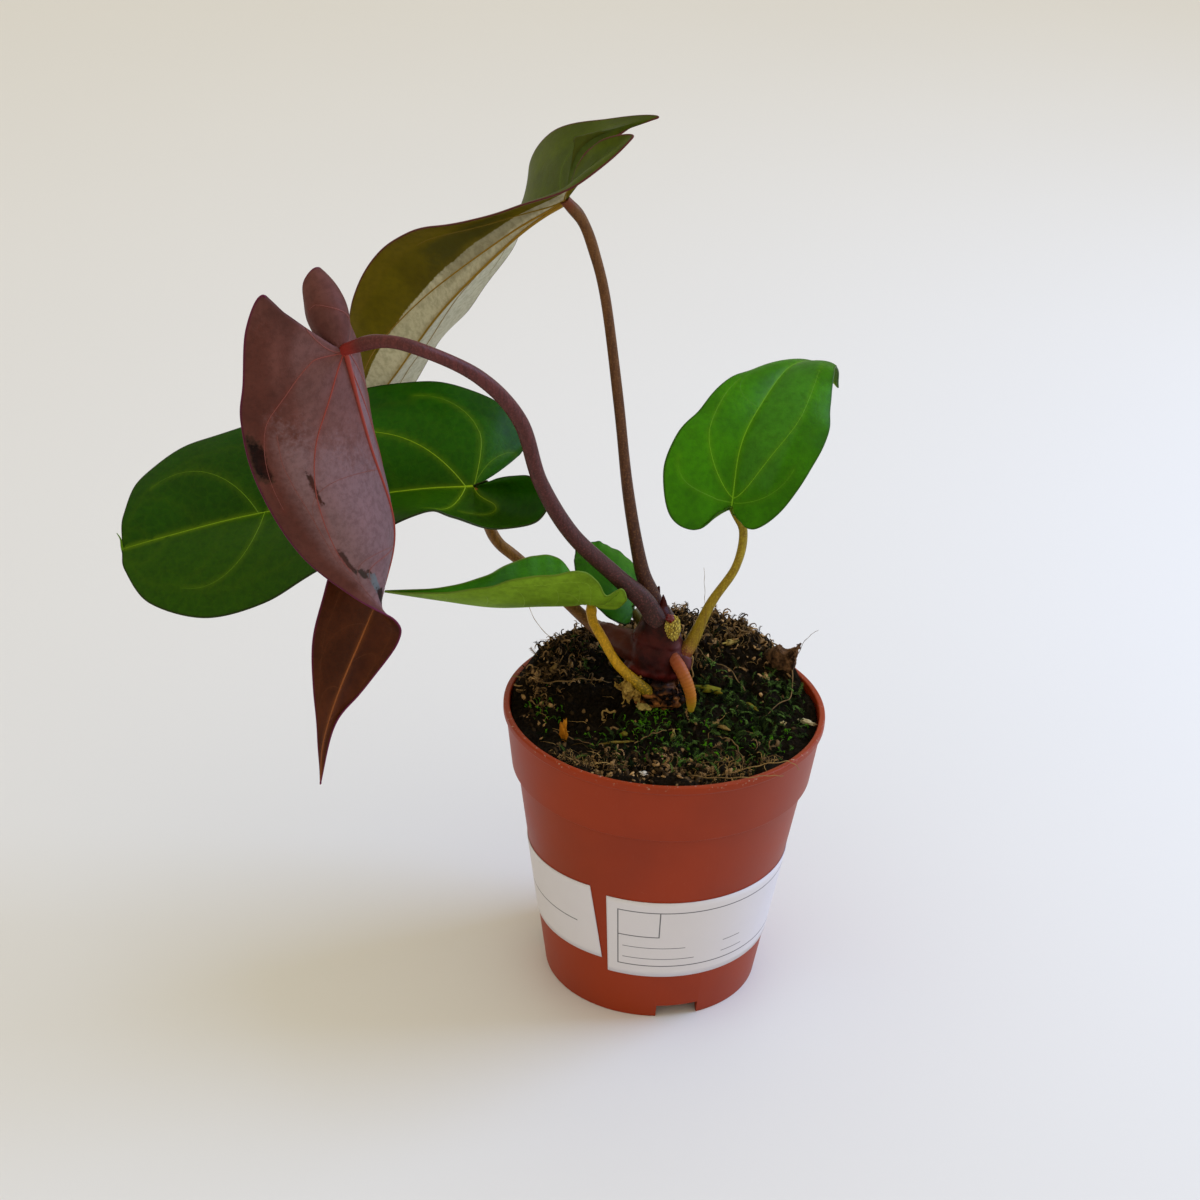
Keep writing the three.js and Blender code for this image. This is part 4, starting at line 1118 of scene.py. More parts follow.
class PLANT_OT_labels(PieceOperator, bpy.types.Operator):
    """Makes the two labels, with plain rules alone, that wrap the pot's wall"""

    bl_idname = "plant.labels"
    bl_label = "Labels"

    thickness: length("Film thickness", "Thickness of a label", 0.25 * MM)
    gap: length("Gap", "Glue between the wall and a label", 0.1 * MM)

    # For both ends, angles round the pot in degrees of the lower and the upper edge, then heights of the two
    # edges in millimetres
    LABELS = {
        "label_front": {"low": (-20, 88), "high": (-20, 88), "bottom": (21, 21), "top": (57.7, 57.7)},
        "label_side": {"low": (-120, -23.1), "high": (-120, -27.7), "bottom": (24, 26.5), "top": (54, 60)},
    }

    def execute(self, context):
        for name, label in self.LABELS.items():
            mesh, width = self.sheet(context.scene.plant_pot, name, label)
            painted(mesh, label_finish(f"{name}_film", self.rules(name, width)))
            film = add_piece(f"{name}_film", mesh)
            modify(film, "SOLIDIFY", thickness=self.thickness, offset=1)
            settle(add_piece(f"{name}_film", evaluated(film)), "label_paper", name)
        return {"FINISHED"}

    def rules(self, name, width):
        """Printed lines as (left, low, right, high) on the label: a frame, a box and plain writing rules"""
        line = 0.28 * MM
        if name == "label_side":
            left, right = width * 0.42, width - 9 * MM
            return [(left, 14 * MM, right, 14 * MM + line)]
        inset, low, high, far = 4.2 * MM, 5.2 * MM, 31.6 * MM, width - 4.2 * MM
        box_right, box_low = inset + 15.5 * MM, 19.6 * MM
        return [
            (inset, low, far, low + line), (inset, high, far, high + line),
            (inset, low, inset + line, high), (far, low, far + line, high + line),
            (box_right, box_low, box_right + line, high), (inset, box_low, box_right, box_low + line),
            *((inset + start * MM, level * MM, inset + stop * MM, level * MM + 0.5 * line)
              for start, stop, level in ((2, 26, 14.2), (2, 30, 8.8), (42, 50, 14.2), (42, 52, 8.8))),
        ]

    def sheet(self, pot, name, label, columns=120, rows=14):
        """A label's outer face, with a map in metres, and its width"""
        points, chart = [], []
        radii = (pot.foot_radius, pot.body_top_radius)
        width = math.radians(label["low"][1] - label["low"][0]) * sum(radii) / 2
        for i in range(columns + 1):
            t = i / columns
            ends = [np.interp(t, (0, 1), label[key]) for key in ("low", "high", "bottom", "top")]
            for j in range(rows + 1):
                s = j / rows
                azimuth = math.radians(ends[0] + (ends[1] - ends[0]) * s)
                z = (ends[2] + (ends[3] - ends[2]) * s) * MM
                radius = np.interp(z, (0, pot.collar_height), radii) + self.gap
                points.append((radius * math.sin(azimuth), -radius * math.cos(azimuth), z))
                chart.append((t * width, s * (ends[3] - ends[2]) * MM))
        mesh = mesh_of(name, np.array(points) + AXIS, grid_faces(columns + 1, rows + 1))
        layer = mesh.uv_layers.new(name="UVMap")
        for loop in mesh.loops:
            layer.data[loop.index].uv = chart[loop.vertex_index]
        return mesh, width


def mix_height(x, y):
    """Height of the mix at a place in the pot, all in millimetres"""
    edge = bpy.context.scene.plant_mix.edge_height / MM
    heaps = sum(high * math.exp(-0.5 * (((x - left) / wide) ** 2 + ((y - front) / deep) ** 2))
                for high, left, front, wide, deep in HEAPS)
    falloff = 1 - min(1.0, math.hypot(x, y) / (RIM_RADIUS / MM)) ** 24
    headings = (0.4, 0.4 + math.pi / 3, 0.4 + 2 * math.pi / 3)
    lumps = sum(math.sin(LUMP_RATE * (x * math.cos(heading) + y * math.sin(heading)) + 1.7 * index)
                for index, heading in enumerate(headings))
    return edge + falloff * heaps + LUMP_HEIGHT * lumps


def mix_top(x, y):
    """Height of the mix with its clods, creases and grit, and the hollow at its left"""
    clods = bpy.context.scene.plant_mix.clods / MM
    hollow = 3.5 * math.exp(-(((x + 30) / 13) ** 2 + ((y + 12) / 10) ** 2))
    coarse = clods * (abs(noise.noise(Vector((x / 11, y / 11, 1)))) - 0.25)
    middle = 0.5 * clods * (abs(noise.noise(Vector((x / 4, y / 4, 2)))) - 0.25)
    grit = 0.7 * noise.noise(Vector((x / 1.4, y / 1.4, 3)))
    inside = 1 - 0.7 * max(0.0, (math.hypot(x, y) - 48) / 9)
    return mix_height(x, y) + (coarse + middle + grit - hollow) * inside


def cover_share(kind, x, y):
    """How much of the ground one kind of thing covers at a place, from 0 to 1"""
    share = sum(most * math.exp(-(((x - left) / wide) ** 2 + ((y - front) / deep) ** 2))
                for left, front, wide, deep, most in COVER[kind])
    patch = 0.75 + 1.7 * noise.noise(Vector((x / 6, y / 6, 10 + 3 * list(COVER).index(kind))))
    return max(0.0, min(1.0, share * patch))


class PLANT_OT_mix(PieceOperator, bpy.types.Operator):
    """Makes the bed of potting mix with its clods, down to the pot's base"""

    bl_idname = "plant.mix"
    bl_label = "Potting mix"

    rings: IntProperty(name="Rings", description="Rings of faces on the surface", default=120)
    sectors: IntProperty(name="Sectors", description="Faces round the surface", default=360)

    SURFACE_RADIUS = 56.9
    # Radius and height of the side, from under the edge of the surface to the middle of the bottom
    SIDE = [(55, 92.5), (52.2, 86.3), (40.1, 6.5), (0.2, 6.5)]

    def execute(self, context):
        points = []
        turns = 2 * np.pi * np.arange(self.sectors) / self.sectors
        for i in range(self.rings):
            radius = self.SURFACE_RADIUS * (i + 0.02) / (self.rings - 1 + 0.02)
            for turn in turns:
                x, y = radius * math.cos(turn), radius * math.sin(turn)
                points.append((x, y, mix_top(x, y)))
        for radius, z in self.SIDE:
            points += [(radius * math.cos(turn), radius * math.sin(turn), z) for turn in turns]
        faces = grid_faces(self.rings + len(self.SIDE), self.sectors, around=True)
        bottom = len(points) - self.sectors
        faces += [tuple(range(self.sectors)), tuple(bottom + j for j in reversed(range(self.sectors)))]
        mesh = painted(outward(mesh_of("mix_bed", placed(points), faces)), earth_finish())
        settle(add_piece("mix_bed", mesh), "potting_mix", "soil")
        return {"FINISHED"}


def frond(name, pairs, reach, rise, leaflet, seed):
    """One sprig of moss: a bent stem with pairs of small pointed leaflets, in millimetres"""
    random = np.random.default_rng(seed)
    stem = np.array([(0, 0, -0.4), (0.12, 0, 0.5), (0.45, 0.03, 0.85), (0.8, -0.02, 1.0), (1.1, 0.02, 0.92)])
    stem = stem * (reach, reach, rise)
    points, faces = tube_points(spline(stem, np.linspace(0, 1, 5)), [0.16, 0.13, 0.11, 0.08, 0.04], 3)
    for i in range(pairs):
        t = 0.22 + 0.78 * i / (pairs - 1)
        foot = spline(stem, t)
        ahead = unit(spline(stem, min(1.0, t + 0.02)) - spline(stem, t - 0.02))
        for side in (-1, 1):
            away = np.array([0.0, side, 0.0]) + 0.7 * ahead + np.array([0, 0, random.uniform(-0.2, 0.5)])
            size = leaflet * (1.1 - 0.5 * t) * random.uniform(0.8, 1.2)
            tip = foot + unit(away) * size
            base = len(points)
            points += [foot - ahead * 0.17 * size, foot + ahead * 0.2 * size,
                       foot + np.array([0, 0, 0.22 * size]) + unit(away) * 0.3 * size, tip]
            faces += [(base, base + 1, base + 2), (base, base + 2, base + 3), (base + 1, base + 3, base + 2),
                      (base, base + 3, base + 1)]
    return add_piece(name, outward(mesh_of(name, np.array(points) * MM, faces)))


def tube_points(run, radii, sides):
    """Points and faces of a closed tube along a run"""
    run = np.asarray(run, float)
    ahead = unit(np.gradient(run, axis=0))
    across = unit(np.cross(ahead, (0.02, 1.0, 0.1)))
    third = np.cross(ahead, across)
    turns = 2 * np.pi * np.arange(sides) / sides
    points = [centre + radius * (math.cos(turn) * a + math.sin(turn) * b)
              for centre, radius, a, b in zip(run, radii, across, third) for turn in turns]
    faces = grid_faces(len(run), sides, around=True)
    last = (len(run) - 1) * sides
    return points, faces + [tuple(reversed(range(sides))), tuple(last + j for j in range(sides))]


def fibre(name, reach, curl, girth, seed, steps=7):
    """One bent fibre as a thin closed tube, in millimetres"""
    random = np.random.default_rng(seed)
    run = [np.array([0.0, 0.0, -0.2])]
    heading = 0.0
    for i in range(steps):
        heading += random.uniform(-curl, curl)
        rise = 0.5 * math.cos(math.pi * (i + 0.5) / steps)
        run.append(run[-1] + np.array([math.cos(heading), math.sin(heading), rise]) * reach / steps)
    points, faces = tube_points(run, girth * np.linspace(1, 0.4, steps + 1), 3)
    return add_piece(name, outward(mesh_of(name, np.array(points) * MM, faces)))


def chunk(name, size, uneven, seed, levels=1):
    """One small uneven lump of the given size along, across and up, in millimetres"""
    work = bmesh.new()
    bmesh.ops.create_icosphere(work, subdivisions=levels, radius=1)
    for vertex in work.verts:
        push = 1 + uneven * noise.noise(vertex.co * 1.7 + Vector((seed, 0, 0)))
        vertex.co = Vector([v * s * MM for v, s in zip(vertex.co, size)]) * push
    return add_piece(name, written(work, bpy.data.meshes.new(name)))


class PLANT_OT_moss(PieceOperator, bpy.types.Operator):
    """Grows moss over the mix and strews crumbs, flakes and fibres between it"""

    bl_idname = "plant.moss"
    bl_label = "Moss and crumbs"

    density: FloatProperty(name="Density", description="Things on a square metre that is full",
                           default=600000)

    # How far from the middle things are strewn
    REACH = 54.6
    # For each kind, its colour, how dark or bright that gets from one thing to the next, and the share of the
    # light that passes through
    SHADES = {
        "moss_dark": ("moss", (0.1, 0.4, 1, 5), 0.15),
        "moss_brown": ("litter", (0.05, 0.4, 1, 4.5), 0),
        "crumbs": ("litter", (0.03, 0.1, 0.5, 5), 0),
        "flakes": ("litter", (0.1, 0.7, 5), 0),
        "bristles": ("litter", (0.2, 1, 4), 0),
        "fibres": ("fibre", (0.2, 1, 2.2), 0),
        "tufts": ("fibre", (0.5, 1.5, 2.8), 0.2),
    }

    def material(self, mix, kind):
        """The material of one kind"""
        if kind == "moss_bright":
            young = tuple(mix.bright_moss)
            tints = [times(3, mix.moss), young, times(1.6, young)]
            return speckled_finish(kind, tints, glow=young, share=0.3)
        key, shades, share = self.SHADES[kind]
        tint = tuple(getattr(mix, key))
        return speckled_finish(kind, [times(shade, tint) for shade in shades], glow=tint if share else None,
                               share=share)

    def execute(self, context):
        mix = context.scene.plant_mix
        feathery = frond("frond_long", 8, 3.6, 2.0, 1.25, 1)
        bushy = frond("frond_short", 7, 2.0, 2.4, 1.0, 2)
        lump = chunk("crumb_bit", (1.2, 0.9, 0.7), 0.9, 5)
        flake = chunk("flake_bit", (1.9, 0.9, 0.25), 0.9, 8)
        thread = fibre("fibre_bit", 7.0, 0.8, 0.11, 3)
        bristle = fibre("bristle_bit", 4.4, 1.0, 0.36, 9)
        bristle.data.transform(Matrix.Rotation(-math.pi / 2, 4, "Y"))
        curl = fibre("tuft_bit", 5.0, 1.5, 0.16, 6)
        ground = self.ground()
        kinds = [
            ("moss_dark", feathery, 0.9, 0.4, 1.25, 0.8), ("moss_bright", bushy, 1.0, 0.4, 0.85, 0.5),
            ("moss_brown", bushy, 0.34, 0.6, 1.5, 0.9), ("crumbs", lump, 0.9, 0.25, 1.4, 3.0),
            ("flakes", flake, 0.6, 0.3, 1.5, 1.3), ("bristles", bristle, 0.8, 0.4, 1.6, 1.1),
            ("fibres", thread, 0.16, 0.4, 1.3, 0.5), ("tufts", curl, 1.9, 0.4, 1.0, 1.2),
        ]
        for index, (kind, shape, share, smallest, largest, lean) in enumerate(kinds):
            self.paint(ground, kind)
            piece = grown(kind, ground, bpy.data.node_groups["scatter"], shape=shape, smallest=smallest,
                          largest=largest, density=share * self.density, lean=lean,
                          seed=mix.seed + index, material=self.material(mix, kind))
            settle(piece, "potting_mix")
        for helper in (ground, feathery, bushy, lump, flake, thread, curl, bristle):
            bpy.data.objects.remove(helper)
        return {"FINISHED"}

    def ground(self):
        """A plain copy of the surface of the mix, a little lower, to strew things over"""
        steps = np.linspace(-55, 55, 111)
        points = [(x, y, mix_top(x, y) - 0.2) for x in steps for y in steps]
        keep = [math.hypot(x, y) < self.REACH for x, y, _ in points]
        faces = [face for face in grid_faces(len(steps), len(steps)) if all(keep[corner] for corner in face)]
        mesh = mesh_of("mix_cover", placed(points), faces, cover=[0.0] * len(points))
        if mesh.polygons[0].normal.z < 0:
            mesh.flip_normals()
        return add_piece("mix_cover", mesh)

    def paint(self, ground, kind):
        """Writes how much one kind covers at each point of the ground"""
        places = [(vertex.co - Vector(AXIS)) / MM for vertex in ground.data.vertices]
        shares = np.array([cover_share(kind, place.x, place.y) for place in places], np.float32)
        ground.data.attributes["cover"].data.foreach_set("value", shares)
        ground.data.update()


class PLANT_OT_litter(PieceOperator, bpy.types.Operator):
    """Lays the thin roots, hairs and loose bits on the mix, each at its own place"""

    bl_idname = "plant.litter"
    bl_label = "Roots and bits"

    ROOT_TINTS = [(0.05, 0.03, 0.015), (0.2, 0.12, 0.05), (0.42, 0.27, 0.09)]
    BIT_TINTS = [(0.45, 0.16, 0.008), (0.16, 0.18, 0.008), (0.14, 0.07, 0.025), (0.5, 0.4, 0.12),
                 (0.6, 0.56, 0.46)]

    def execute(self, context):
        runs, shades = [], []
        t = np.linspace(0, 1, 40)
        for places, radius, shade in STRANDS:
            run = spline([(x, y, mix_top(x, y) + lift) for x, y, lift in places], t)
            run += radius * np.stack([np.sin(23 * t), np.cos(17 * t), np.sin(31 * t)], axis=-1)
            runs.append((placed(run), radius * MM * (1 - 0.5 * t) * (1 + 0.15 * np.sin(40 * t))))
            shades.append(np.full(len(t), shade))
        tan = speckled_finish("thin_roots", self.ROOT_TINTS, size=4 * MM)
        settle(tubes("thin_roots", runs, tan, sides=7, shade=shades), "potting_mix")
        pieces = []
        for index, (x, y, lift, along, across, up, turn, shade) in enumerate(BITS):
            bit = chunk(f"bit_{index}", (along, across, up), 0.8, index, levels=3)
            place = Matrix.Translation(Vector(placed((x, y, mix_top(x, y) + lift))))
            bit.data.transform(place @ Matrix.Rotation(math.radians(turn), 4, "Z"))
            store(bit.data, shade=np.full(len(bit.data.vertices), shade))
            bit.data.shade_smooth()
            pieces.append(bit)
        painted(pieces[0].data, speckled_finish("loose_bits", self.BIT_TINTS, size=0.8 * MM))
        settle(joined("loose_bits", pieces), "potting_mix")
        return {"FINISHED"}


def joined(name, pieces):
    """One piece made of several, with the material of the first"""
    work = bmesh.new()
    for piece in pieces:
        work.from_mesh(piece.data)
    whole = add_piece(name, written(work, pieces[0].data.copy()))
    for piece in pieces:
        bpy.data.objects.remove(piece)
    return whole


class PLANT_OT_blades(PieceOperator, bpy.types.Operator):
    """Makes the leaf blades from their midribs and margins"""

    bl_idname = "plant.blades"
    bl_label = "Blades"

    def execute(self, context):
        settings = context.scene.plant_leaves
        for name, leaf in LEAVES.items():
            mesh = self.sheet(settings, name, leaf)
            for face in ("upper", "under"):
                mesh.materials.append(leaf_finish(name, face))
            piece = add_piece(f"leaf_{name}", mesh)
            modify(piece, "SOLIDIFY", thickness=settings.thickness, offset=-1, material_offset=1,
                   material_offset_rim=1)
            settle(add_piece(f"leaf_{name}", evaluated(piece)), BLADE_SLOTS[name], f"blade_{name}")
        return {"FINISHED"}

    def sheet(self, settings, name, leaf):
        """The whole upper face as one sheet, which knows its veins, its margin and its own two directions"""
        points, faces, edges, across, along = [], [], [], [], []
        s = np.linspace(0, 1, settings.columns + 1)
        w = 0.5 * s + 0.5 * (0.5 - 0.5 * np.cos(np.pi * s))
        tree, strengths = vein_distances(leaf)
        lobe_rows = round(settings.rows * 0.3)
        for side, share in zip((-1, 1), leaf["fan"]):
            u = np.concatenate([np.linspace(0, share, lobe_rows, endpoint=False),
                                np.linspace(share, 1, settings.rows - lobe_rows + 1)])
            grid_u, grid_w = np.meshgrid(u, w, indexing="ij")
            grid, _ = blade_face(leaf, side, grid_u, grid_w)
            near_edge = np.linalg.norm(grid - grid[:, -1:, :], axis=-1)
            faces += grid_faces(len(u), len(w), first=len(points), flip=side > 0)
            points += grid.reshape(-1, 3).tolist()
            edges += np.clip(1 - near_edge / (0.7 * MM), 0, 1).ravel().tolist()
            across += (side * grid_w).ravel().tolist()
            along += grid_u.ravel().tolist()
        veins = []
        for point in points:
            _, index, distance = tree.find(point)
            veins.append(strengths[index] * math.exp(-(distance / (1.2 * MM)) ** 2))
        return welded(mesh_of(f"leaf_{name}", points, faces, vein=veins, edge=edges, across=across,
                              along=along))


def vein_runs(leaf, laterals):
    """Every vein of a leaf as (side, u, w, girth share, strength)"""
    t = np.linspace(0, 1, 40)
    outward_bend = np.sin(0.5 * np.pi * t)
    runs = []
    for side, share, veins in zip((-1, 1), leaf["fan"], leaf["veins"]):
        for start, end, reach, bend, loop, strength in veins:
            u = start + (end - start) * t**bend - loop * np.sin(np.pi * t)
            runs.append((side, u, reach * outward_bend, 0.5 + 0.5 * strength, strength))
        rim = leaf["rim_vein"]
        for i in range(laterals):
            start = share + (1 - share) * (0.22 + 0.6 * i / max(1, laterals - 1) + 0.03 * side)
            runs.append((side, start + 0.09 * t**2, rim * outward_bend, 0.4, leaf["side_veins"]))
        u = np.linspace(share + 0.1, 0.97, 90)
        scallop = 0.03 * np.abs(np.sin(np.pi * laterals * (u - share) / (1 - share)))
        runs.append((side, u, rim + 0.02 - scallop, 0.35, leaf["side_veins"]))
    return runs


def vein_distances(leaf):
    """A tree of points along the veins, to ask how near a vein is, and how strong the vein is at each"""
    samples, strengths = [], []
    for side, u, w, _, strength in vein_runs(leaf, bpy.context.scene.plant_leaves.laterals):
        points, _ = blade_face(leaf, side, u, w)
        samples += points.tolist()
        strengths += [strength] * len(points)
    ribs = placed(spline(leaf["midrib"], np.linspace(0, 1, 300))).tolist()
    samples += ribs
    strengths += [1.0] * len(ribs)
    tree = KDTree(len(samples))
    for index, point in enumerate(samples):
        tree.insert(point, index)
    tree.balance()
    return tree, strengths


class PLANT_OT_veins(PieceOperator, bpy.types.Operator):
    """Raises the veins on both faces of every blade, and the fine line along its margin"""

    bl_idname = "plant.veins"
    bl_label = "Veins"

    faintest: FloatProperty(name="Faintest", description="A vein this weak has no ridge", default=0.14)

    # The hooked tip of the long leaf
    HOOK = [[-198, -9, 165], [-199, -9, 169.5], [-199.4, -9, 173], [-200.8, -8.4, 175]]

    def execute(self, context):
        settings = context.scene.plant_leaves
        for name, leaf in LEAVES.items():
            ridges = self.veins(settings, name, leaf) + self.margins(settings, leaf)
            if name == "long":
                hook = placed(spline(self.HOOK, np.linspace(0, 1, 30)))
                ridges.append((hook, np.linspace(0.7, 0.15, len(hook)) * MM, 0.5, np.full(len(hook), 0.7)))
            runs = [(points, radii) for points, radii, _, _ in ridges]
            tones = [np.full(len(points), tone) for points, _, tone, _ in ridges]
            ages = [age for _, _, _, age in ridges]
            piece = tubes(f"veins_{name}", runs, vein_finish(name), tone=tones, age=ages)
            settle(piece, BLADE_SLOTS[name])
        return {"FINISHED"}

    def veins(self, settings, name, leaf):
        """Ridges (points, radii, tone, age) of the veins and the midrib, on both faces"""
        share = MIDRIB_SHARE[name]
        ridges = []
        for side, u, w, girth, strength in vein_runs(leaf, settings.laterals):
            if strength >= self.faintest:
                points, out = blade_face(leaf, side, u, w)
                t = np.linspace(0, 1, len(u))
                radii = min(1.0, share) * girth * settings.vein * (1 - 0.7 * t**0.8)
                ridges += self.pair(settings, points, out, radii, 1 - strength * (1 - 0.5 * t))
        t = np.linspace(0, 1, 90)
        (points, out), (_, other_out) = (blade_face(leaf, side, np.linspace(fan, 1, len(t)), np.zeros_like(t))
                                         for side, fan in zip((-1, 1), leaf["fan"]))
        radii = share * settings.midrib * (1 + 0.5 * np.exp(-((t / 0.05) ** 2))) * (1 - 0.7 * t)
        return ridges + self.pair(settings, points, unit(out + other_out), radii, 0.5 * t)

    def pair(self, settings, points, out, radii, age):
        """A ridge on the under face and a slimmer one on the upper face"""
        depth = np.maximum(settings.thickness - 0.3 * radii, radii + 0.05 * MM)
        return [(points - out * depth[:, None], radii, 0.0, age),
                (points - out * (0.45 * radii)[:, None], 0.7 * radii, 0.5, age)]

    def margins(self, settings, leaf):
        """Ridges along the margins of both halves"""
        ridges = []
        for side in (-1, 1):
            u = np.linspace(0.001, 0.999, 260)
            points, out = blade_face(leaf, side, u, np.ones_like(u))
            radii = np.full(len(u), 0.52 * settings.thickness)
            ridges.append((points - out * 0.5 * settings.thickness, radii, 1.0, np.zeros(len(u))))
        return ridges


class PLANT_OT_stalks(PieceOperator, bpy.types.Operator):
    """Makes the leaf stalks, each with a slightly swollen joint under its blade"""

    bl_idname = "plant.stalks"
    bl_label = "Stalks"

    joint: FloatProperty(name="Joint", description="How much a stalk swells under its blade", default=0.18)

    def execute(self, context):
        for name, leaf in LEAVES.items():
            t = np.linspace(0, 1, 160)
            centres, radii = traced(leaf["stalk"], t)
            swell = 1 + self.joint * np.exp(-(((t - 0.93) / 0.045) ** 2))
            foot = 1 + 0.12 * np.exp(-((t / 0.06) ** 2))
            uneven = 1 + 0.025 * np.sin(37 * t + len(name)) * np.sin(11 * t)
            runs = [(centres, radii * swell * foot * uneven)]
            piece = tubes(f"stem_{name}", runs, stalk_finish(name), sides=28, age=[t])
            settle(piece, STALK_SLOTS[name], f"stalk_{name}")
        return {"FINISHED"}


class PLANT_OT_crown(PieceOperator, bpy.types.Operator):
    """Makes the short stem with its leaf bases, the callus, the cut stub, the dry sheath and the root"""

    bl_idname = "plant.crown"
    bl_label = "Crown"

    # Runs of [x, y, z, radius]: the stem, the old leaf base in front, the callus, the leaf bases at the left,
    # low at the left and at the right, and two scales on top
    PARTS = [
        [[1, -1, 106, 5], [-1, -2, 116, 6.6], [-3, -3, 125, 8], [-4, -2, 134, 9.6], [-4, -1, 142, 9],
         [-4, 0, 149, 6.4], [-4, 1, 154, 3.6]],
        [[-11, -7, 120, 2.2], [-6, -9, 122, 4.6], [0, -10, 122, 5], [5, -8, 120, 3.4]],
        [[1, -3, 140, 3.4], [4.4, -4, 140, 2.6]],
        [[-4, -2, 137, 8], [-12, 1, 136, 6], [-20, 8, 136, 4.6], [-26, 13, 136, 3.4]],
        [[-4, -4, 131, 8], [-10, -4, 129, 5.6], [-15, -2, 129, 3]],
        [[1, -3, 133, 7], [5, -3, 132.5, 4.6], [7, -2, 136, 3]],
        [[-3, 0, 150, 2], [-2.4, 0, 155, 1.3], [-2.8, 0.6, 159, 0.4]],
        [[-5, 3, 150, 2], [-5, 4.4, 156, 1.2], [-4.4, 5, 160, 0.4]],
    ]
    # Height, width and depth of each scar or ridge
    SCARS = [(129, 1.4, 0.7), (126.4, 0.9, -1.5), (141.5, 1.6, 0.6), (139, 1.0, -0.5), (121, 0.8, -0.9),
             (148, 0.9, 0.4)]
    # Middle and reach of each patch of callus
    CALLUS_PATCHES = [((6, -7, 140.5), 3.2), ((10, -4, 136), 4.2)]
    # The aerial root
    ROOT = [[0, -4, 138, 2.2], [4, -10, 136, 2.4], [7.2, -12.8, 131.4, 2.3], [9.2, -13.8, 126.4, 2.1],
            [9.8, -13.6, 122, 1.8], [9.8, -13.4, 118.6, 1.1]]
    # Middle and radii of the cut stub, and of the knob on it
    STUB = ((1.4, -5.6, 148.4), (2.9, 3.2, 4.9))
    KNOB = ((0.2, -7.2, 153.2), (1.5, 1.3, 1.7))
    # Top and bottom of the sheath's two ends
    SHEATH = [[(-8, -10, 131), (-7, -14, 120)], [(-21, -9.5, 130), (-15, -15.5, 119)]]

    def execute(self, context):
        t = np.linspace(0, 1, 70)
        shape = tubes("crown_parts", [traced(part, t) for part in self.PARTS], None, sides=32)
        modify(shape, "REMESH", mode="VOXEL", voxel_size=0.45 * MM)
        modify(shape, "SMOOTH", iterations=6)
        mesh = painted(evaluated(shape), crown_finish())
        self.wrinkle(mesh)
        mesh.shade_smooth()
        settle(add_piece("crown_stem", mesh), "crown_tissue", "crown")
        self.add_stub()
        self.add_sheath()
        self.add_root()
        return {"FINISHED"}

    def wrinkle(self, mesh):
        """Presses slanting scars and ridges of old leaf bases into the stem, and tears its foot"""
        axis = Vector(AXIS) + Vector((-3, -2, 0)) * MM
        ridge, hollow, flare, callus = [], [], [], []
        for vertex in mesh.vertices:
            away = vertex.co - axis
            turn = math.atan2(away.y, away.x)
            level = vertex.co.z / MM + 2.4 * math.sin(turn + 0.6)
            wave = sum(math.exp(-(((level - height) / width) ** 2)) * depth
                       for height, width, depth in self.SCARS)
            rough = noise.fractal(vertex.co / (5 * MM), 0.9, 2.1, 2)
            broken = 0.5 + noise.noise(vertex.co / (4 * MM))
            low = min(1.0, max(0.0, (127 - level) / 3))
            squashed = Vector((vertex.co.x, vertex.co.y, 2.2 * vertex.co.z)) / (4.5 * MM)
            torn = 3.4 * abs(noise.noise(squashed)) - 1.3
            vertex.co += vertex.normal * (wave * broken + 0.3 * rough + low * torn) * MM
            front = max(0.0, math.cos(turn + 1.9))
            # ridge marks the red fold on the front, whose colour is partly a painted highlight
            ridge.append(max(0.0, front * broken * math.exp(-(((level - 129.4) / 1.2) ** 2))))
            # where shade is painted: the crease under the ridge on the front, and the torn recesses at the
            # foot
            hollow.append(front * math.exp(-(((level - 126.2) / 1.1) ** 2)) + low * max(0.0, -torn))
            flare.append(min(1.0, max(0.0, -(vertex.co.x - axis.x) / MM / 8 - 0.9)))
            callus.append(sum(math.exp(-((vertex.co - Vector(placed(place))).length / (spread * MM)) ** 2)
                              for place, spread in self.CALLUS_PATCHES))
        store(mesh, ridge=ridge, hollow=hollow, flare=flare, callus=callus)

    def add_stub(self):
        """The dry cut stub of an old flower stalk, full of grains, with a knob of young tissue on it"""
        middle, reach = self.STUB
        work = bmesh.new()
        bmesh.ops.create_icosphere(work, subdivisions=6, radius=1)
        gaps = []
        for vertex in work.verts:
            near, _ = noise.voronoi(vertex.co * 4.2)
            edge = near[1] - near[0]
            gaps.append(1 - min(1.0, edge / 0.22))
            swell = 1 + 0.13 * min(1.0, edge / 0.4) - 0.05 + 0.06 * noise.noise(vertex.co * 1.5)
            vertex.co = Vector([v * r for v, r in zip(vertex.co, reach)]) * swell
            vertex.co = Vector(placed(vertex.co + Vector(middle)))
        mesh = painted(written(work, bpy.data.meshes.new("stub")), stub_finish())
        store(mesh, gap=gaps)
        mesh.shade_smooth()
        settle(add_piece("stub", mesh), "stub_tissue", "cut_stub")
        middle, reach = self.KNOB
        knob = chunk("red_knob", reach, 0.3, 2, levels=4)
        painted(knob.data, gem_finish())
        knob.data.transform(Matrix.Translation(Vector(placed(middle))))
        knob.data.shade_smooth()
        settle(knob, "crown_tissue")

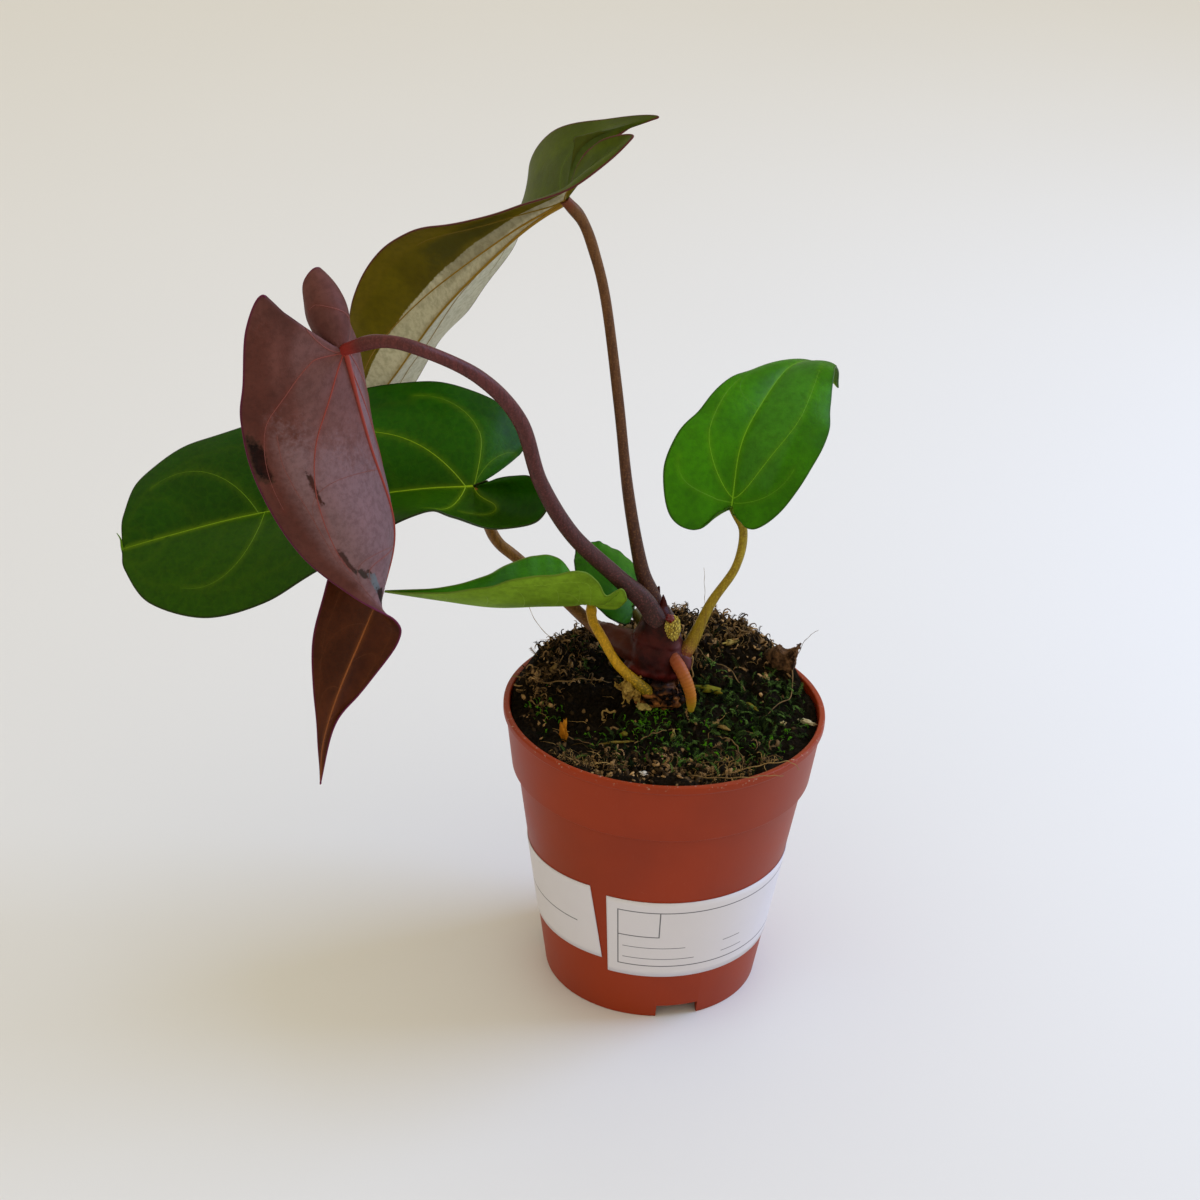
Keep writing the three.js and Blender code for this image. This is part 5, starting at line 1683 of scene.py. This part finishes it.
    def add_sheath(self):
        """The crumpled papery sheath at the foot of the crown"""
        corners = np.array(self.SHEATH)
        steps = 80
        side = np.linspace(0, 1, steps)
        points, torn = [], []
        for s in side:
            for t in side:
                flat = ((1 - s) * ((1 - t) * corners[0, 0] + t * corners[0, 1])
                        + s * ((1 - t) * corners[1, 0] + t * corners[1, 1]))
                here = Vector(flat)
                fold = 2.4 * abs(noise.noise(here / 3.2)) + 1.0 * abs(noise.noise(here / 1.4))
                points.append(flat + (1.4 * noise.noise(here / 3 + Vector((9, 0, 0))), -2 * fold,
                                      1.8 * noise.noise(here / 2.6 + Vector((0, 7, 0)))))
                border = min(s, 1 - s, t, 1 - t)
                torn.append(border < 0.14 + 0.3 * noise.noise(here / 2.2 + Vector((0, 0, 5))))
        faces = [face for face in grid_faces(steps, steps) if not any(torn[corner] for corner in face)]
        sheet = add_piece("sheath", mesh_of("sheath", placed(points), faces))
        modify(sheet, "SOLIDIFY", thickness=0.3 * MM)
        mesh = evaluated(sheet)
        work = bmesh.new()
        work.from_mesh(mesh)
        bmesh.ops.delete(work, geom=[v for v in work.verts if not v.link_faces], context="VERTS")
        mesh = painted(outward(written(work, mesh)), sheath_finish())
        settle(add_piece("sheath", mesh), "dry_tissue", "dry_sheath")

    def add_root(self):
        """The thick aerial root that bends down into the moss"""
        t = np.linspace(0, 1, 120)
        centres, radii = traced(self.ROOT, t)
        rings = 1 + 0.025 * np.sin(150 * t) + 0.015 * np.sin(61 * t)
        piece = tubes("air_root", [(centres, radii * rings)], root_finish(), sides=24, age=[t])
        settle(piece, "root_tissue", "aerial_root")


class PLANT_OT_chip(PieceOperator, bpy.types.Operator):
    """Makes the chip of bark that stands in the mix"""

    bl_idname = "plant.chip"
    bl_label = "Bark chip"

    def execute(self, context):
        chip = add_piece("chip", welded(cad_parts["bark_chip"].data.copy()))
        modify(chip, "REMESH", mode="VOXEL", voxel_size=0.5 * MM)
        mesh = painted(evaluated(chip), bark_finish())
        for vertex in mesh.vertices:
            rough = noise.fractal(vertex.co / (5 * MM), 0.8, 2.2, 4)
            vertex.co += vertex.normal * (rough - 0.3) * MM
        settle(add_piece("chip", mesh), "bark", "bark_chip")
        return {"FINISHED"}


class PLANT_PT_panel(bpy.types.Panel):
    """Lists the steps that build the plant"""

    bl_label = "Potted anthurium"
    bl_idname = "PLANT_PT_panel"
    bl_space_type = "VIEW_3D"
    bl_region_type = "UI"
    bl_category = "Plant"

    def draw(self, context):
        for operator in OPERATORS:
            self.layout.operator(operator.bl_idname)
        for group in GROUPS:
            settings = getattr(context.scene, group)
            for key in settings.__annotations__:
                self.layout.prop(settings, key)


GROUPS = {
    "plant_leaves": LeafSettings,
    "plant_pot": PotSettings,
    "plant_mix": MixSettings,
    "plant_stage": StageSettings,
}
OPERATORS = (PLANT_OT_stage, PLANT_OT_pot, PLANT_OT_labels, PLANT_OT_mix, PLANT_OT_moss, PLANT_OT_litter,
             PLANT_OT_blades, PLANT_OT_veins, PLANT_OT_stalks, PLANT_OT_crown, PLANT_OT_chip)


def register():
    """Adds the settings, the operators and the panel"""
    for name, group in GROUPS.items():
        bpy.utils.register_class(group)
        setattr(bpy.types.Scene, name, PointerProperty(type=group))
    for operator in OPERATORS:
        bpy.utils.register_class(operator)
    bpy.utils.register_class(PLANT_PT_panel)


def unregister():
    """Removes the panel, the operators and the settings"""
    bpy.utils.unregister_class(PLANT_PT_panel)
    for operator in reversed(OPERATORS):
        bpy.utils.unregister_class(operator)
    for name, group in GROUPS.items():
        delattr(bpy.types.Scene, name)
        bpy.utils.unregister_class(group)


def main():
    """Builds every piece"""
    register()
    tube_tree()
    scatter_tree()
    for operator in OPERATORS:
        group, name = operator.bl_idname.split(".")
        getattr(getattr(bpy.ops, group), name)()


if __name__ == "__main__":
    main()
